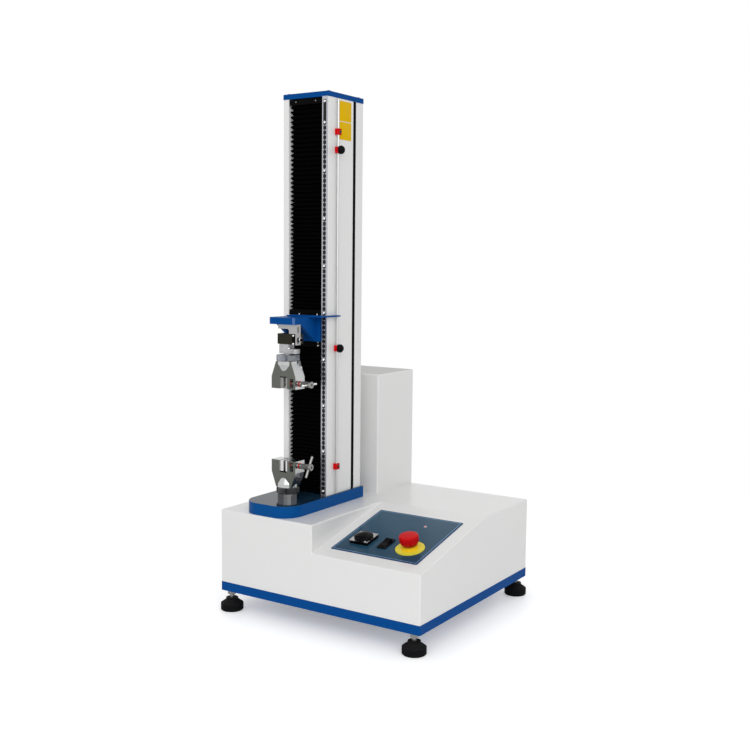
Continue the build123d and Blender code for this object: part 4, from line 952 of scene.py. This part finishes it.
band_x = -112.3
for level, height, grip_body in (("upper", upper_screw_z, "crosshead"), ("lower", lower_screw_z, "base")):
    make_piece(
        f"{level}_red_washer",
        [(
            turned([(5.2, 0), (6.5, 0), (6.5, 0.7), (6.2, 0.95), (5.2, 0.95), (5.2, 0)]),
            at((grip_side, axis_y, height), right),
        )],
        red_plastic, grip_body,
    )
    make_piece(
        f"{level}_orange_band",
        [(
            turned([(4.9, 0), (5.2, 0.3), (5.2, 3.9), (4.9, 4.2), (4.9, 0)]),
            at((band_x, axis_y, height), right),
        )],
        orange_band, f"{level}_clamp_screw",
    )


# Desk: signal lamp and the selector's mark

make_piece(
    "lamp_bezel",
    [(
        turned([(2.1, 0), (3.4, 0), (3.3, 0.8), (2.8, 1.3), (2.1, 1.0), (2.1, 0)]),
        on_panel(lamp_spot, 0.0),
    )],
    chrome, "base",
)
make_piece(
    "lamp_lens",
    [(
        turned([(0, 0), (2.1, 0), (2.1, 1.0), (1.9, 1.7), (1.4, 2.2), (0.7, 2.5), (0, 2.6)]),
        on_panel(lamp_spot, 0.0),
    )],
    red_lens, "base",
)
mark_spot = (selector_spot[0] + 14.5, selector_spot[1] - 18.0)
make_piece(
    "selector_mark",
    [
        (rounded_plate(3.6, 1.2, 0.3, 0.4, 0.05), on_panel(mark_spot, 6.5)),
        (rounded_plate(1.2, 3.6, 0.3, 0.4, 0.05), on_panel(mark_spot, 6.52)),
    ],
    mark_white, "base",
)


# Camera, floor and light

camera_place = Vector((1.2265, -1.9011, 0.7530))
camera_yaw = radians(33.09)
camera_pitch = radians(6.16)
camera_roll = radians(0.56)
picture_pixels = 750
focal_pixels = 1040.6
sensor_width = 36.0
white = (1.0, 1.0, 1.0, 1.0)
ambient_strength, floor_glow = 0.6, 0.3
floor_radius, fade_start, fade_end = 6.0, 0.5, 1.6


def add_camera():
    camera_data = bpy.data.cameras.new("studio_camera")
    camera_data.sensor_width = sensor_width
    camera_data.lens = focal_pixels / picture_pixels * sensor_width
    camera = add_object("studio_camera", camera_data)
    camera.matrix_world = (
        Matrix.Translation(camera_place)
        @ Matrix.Rotation(camera_yaw, 4, "Z")
        @ Matrix.Rotation(pi / 2 - camera_pitch, 4, "X")
        @ Matrix.Rotation(camera_roll, 4, "Z")
    )
    bpy.context.scene.camera = camera


def add_area_light(name, place, target, size, power):
    light_data = bpy.data.lights.new(name, "AREA")
    light_data.shape = "RECTANGLE"
    light_data.size, light_data.size_y = size
    light_data.energy = power
    light = add_object(name, light_data)
    light.location = place
    light.rotation_euler = (Vector(target) - Vector(place)).to_track_quat("-Z", "Y").to_euler()


def add_world():
    """Even studio light, and plain white where the camera or a reflection looks past the object."""
    world = bpy.data.worlds.new("studio_world")
    bpy.context.scene.world = world
    world.use_nodes = True
    tree = world.node_tree
    tree.nodes.clear()
    path = add_node(tree, "ShaderNodeLightPath")
    direct = path.outputs["Is Camera Ray"]
    for ray in ("Is Transmission Ray", "Is Glossy Ray"):
        direct = math_node(tree, "MAXIMUM", direct, path.outputs[ray])
    seen = add_node(tree, "ShaderNodeBackground", {"Color": white, "Strength": 1.0})
    ambient = add_node(tree, "ShaderNodeBackground", {"Color": white, "Strength": ambient_strength})
    mixed = add_node(tree, "ShaderNodeMixShader", {0: direct, 1: ambient.outputs[0], 2: seen.outputs[0]})
    add_node(tree, "ShaderNodeOutputWorld", {"Surface": mixed.outputs[0]})


def add_floor():
    """A wide pale disc that fades into the white backdrop and keeps the object's shadow."""
    bm = bmesh.new()
    bmesh.ops.create_circle(bm, cap_ends=True, segments=96, radius=floor_radius)
    mesh = bpy.data.meshes.new("studio_floor")
    bm.to_mesh(mesh)
    bm.free()
    floor = add_object("studio_floor", mesh)
    material, tree, shader = start_material("floor_paper")
    place = object_place(tree)
    distance = add_node(tree, "ShaderNodeVectorMath", {0: place}, operation="LENGTH").outputs["Value"]
    fade = add_node(
        tree,
        "ShaderNodeMapRange",
        {"Value": distance, "From Min": fade_start, "From Max": fade_end, "To Min": 1.0, "To Max": 0.0},
    ).outputs["Result"]
    shader.inputs["Base Color"].default_value = (0.97, 0.97, 0.97, 1.0)
    shader.inputs["Roughness"].default_value = 0.5
    tree.links.new(fade, shader.inputs["Alpha"])
    seen = add_node(tree, "ShaderNodeLightPath").outputs["Is Camera Ray"]
    tree.links.new(math_node(tree, "MULTIPLY", seen, floor_glow), shader.inputs["Emission Strength"])
    shader.inputs["Emission Color"].default_value = white
    mesh.materials.append(material)


add_camera()
add_world()
add_floor()
add_area_light("key_softbox", (0.6, -3.2, 1.9), (0.0, 0.0, 0.5), (2.8, 2.8), 26.0)
add_area_light("fill_softbox", (2.4, -2.1, 1.9), (0.0, 0.0, 0.6), (2.4, 2.4), 33.0)
add_area_light("top_softbox", (-0.6, 0.3, 3.0), (0.0, 0.0, 0.0), (3.0, 3.0), 4.0)
bpy.context.scene.view_settings.view_transform = "Standard"
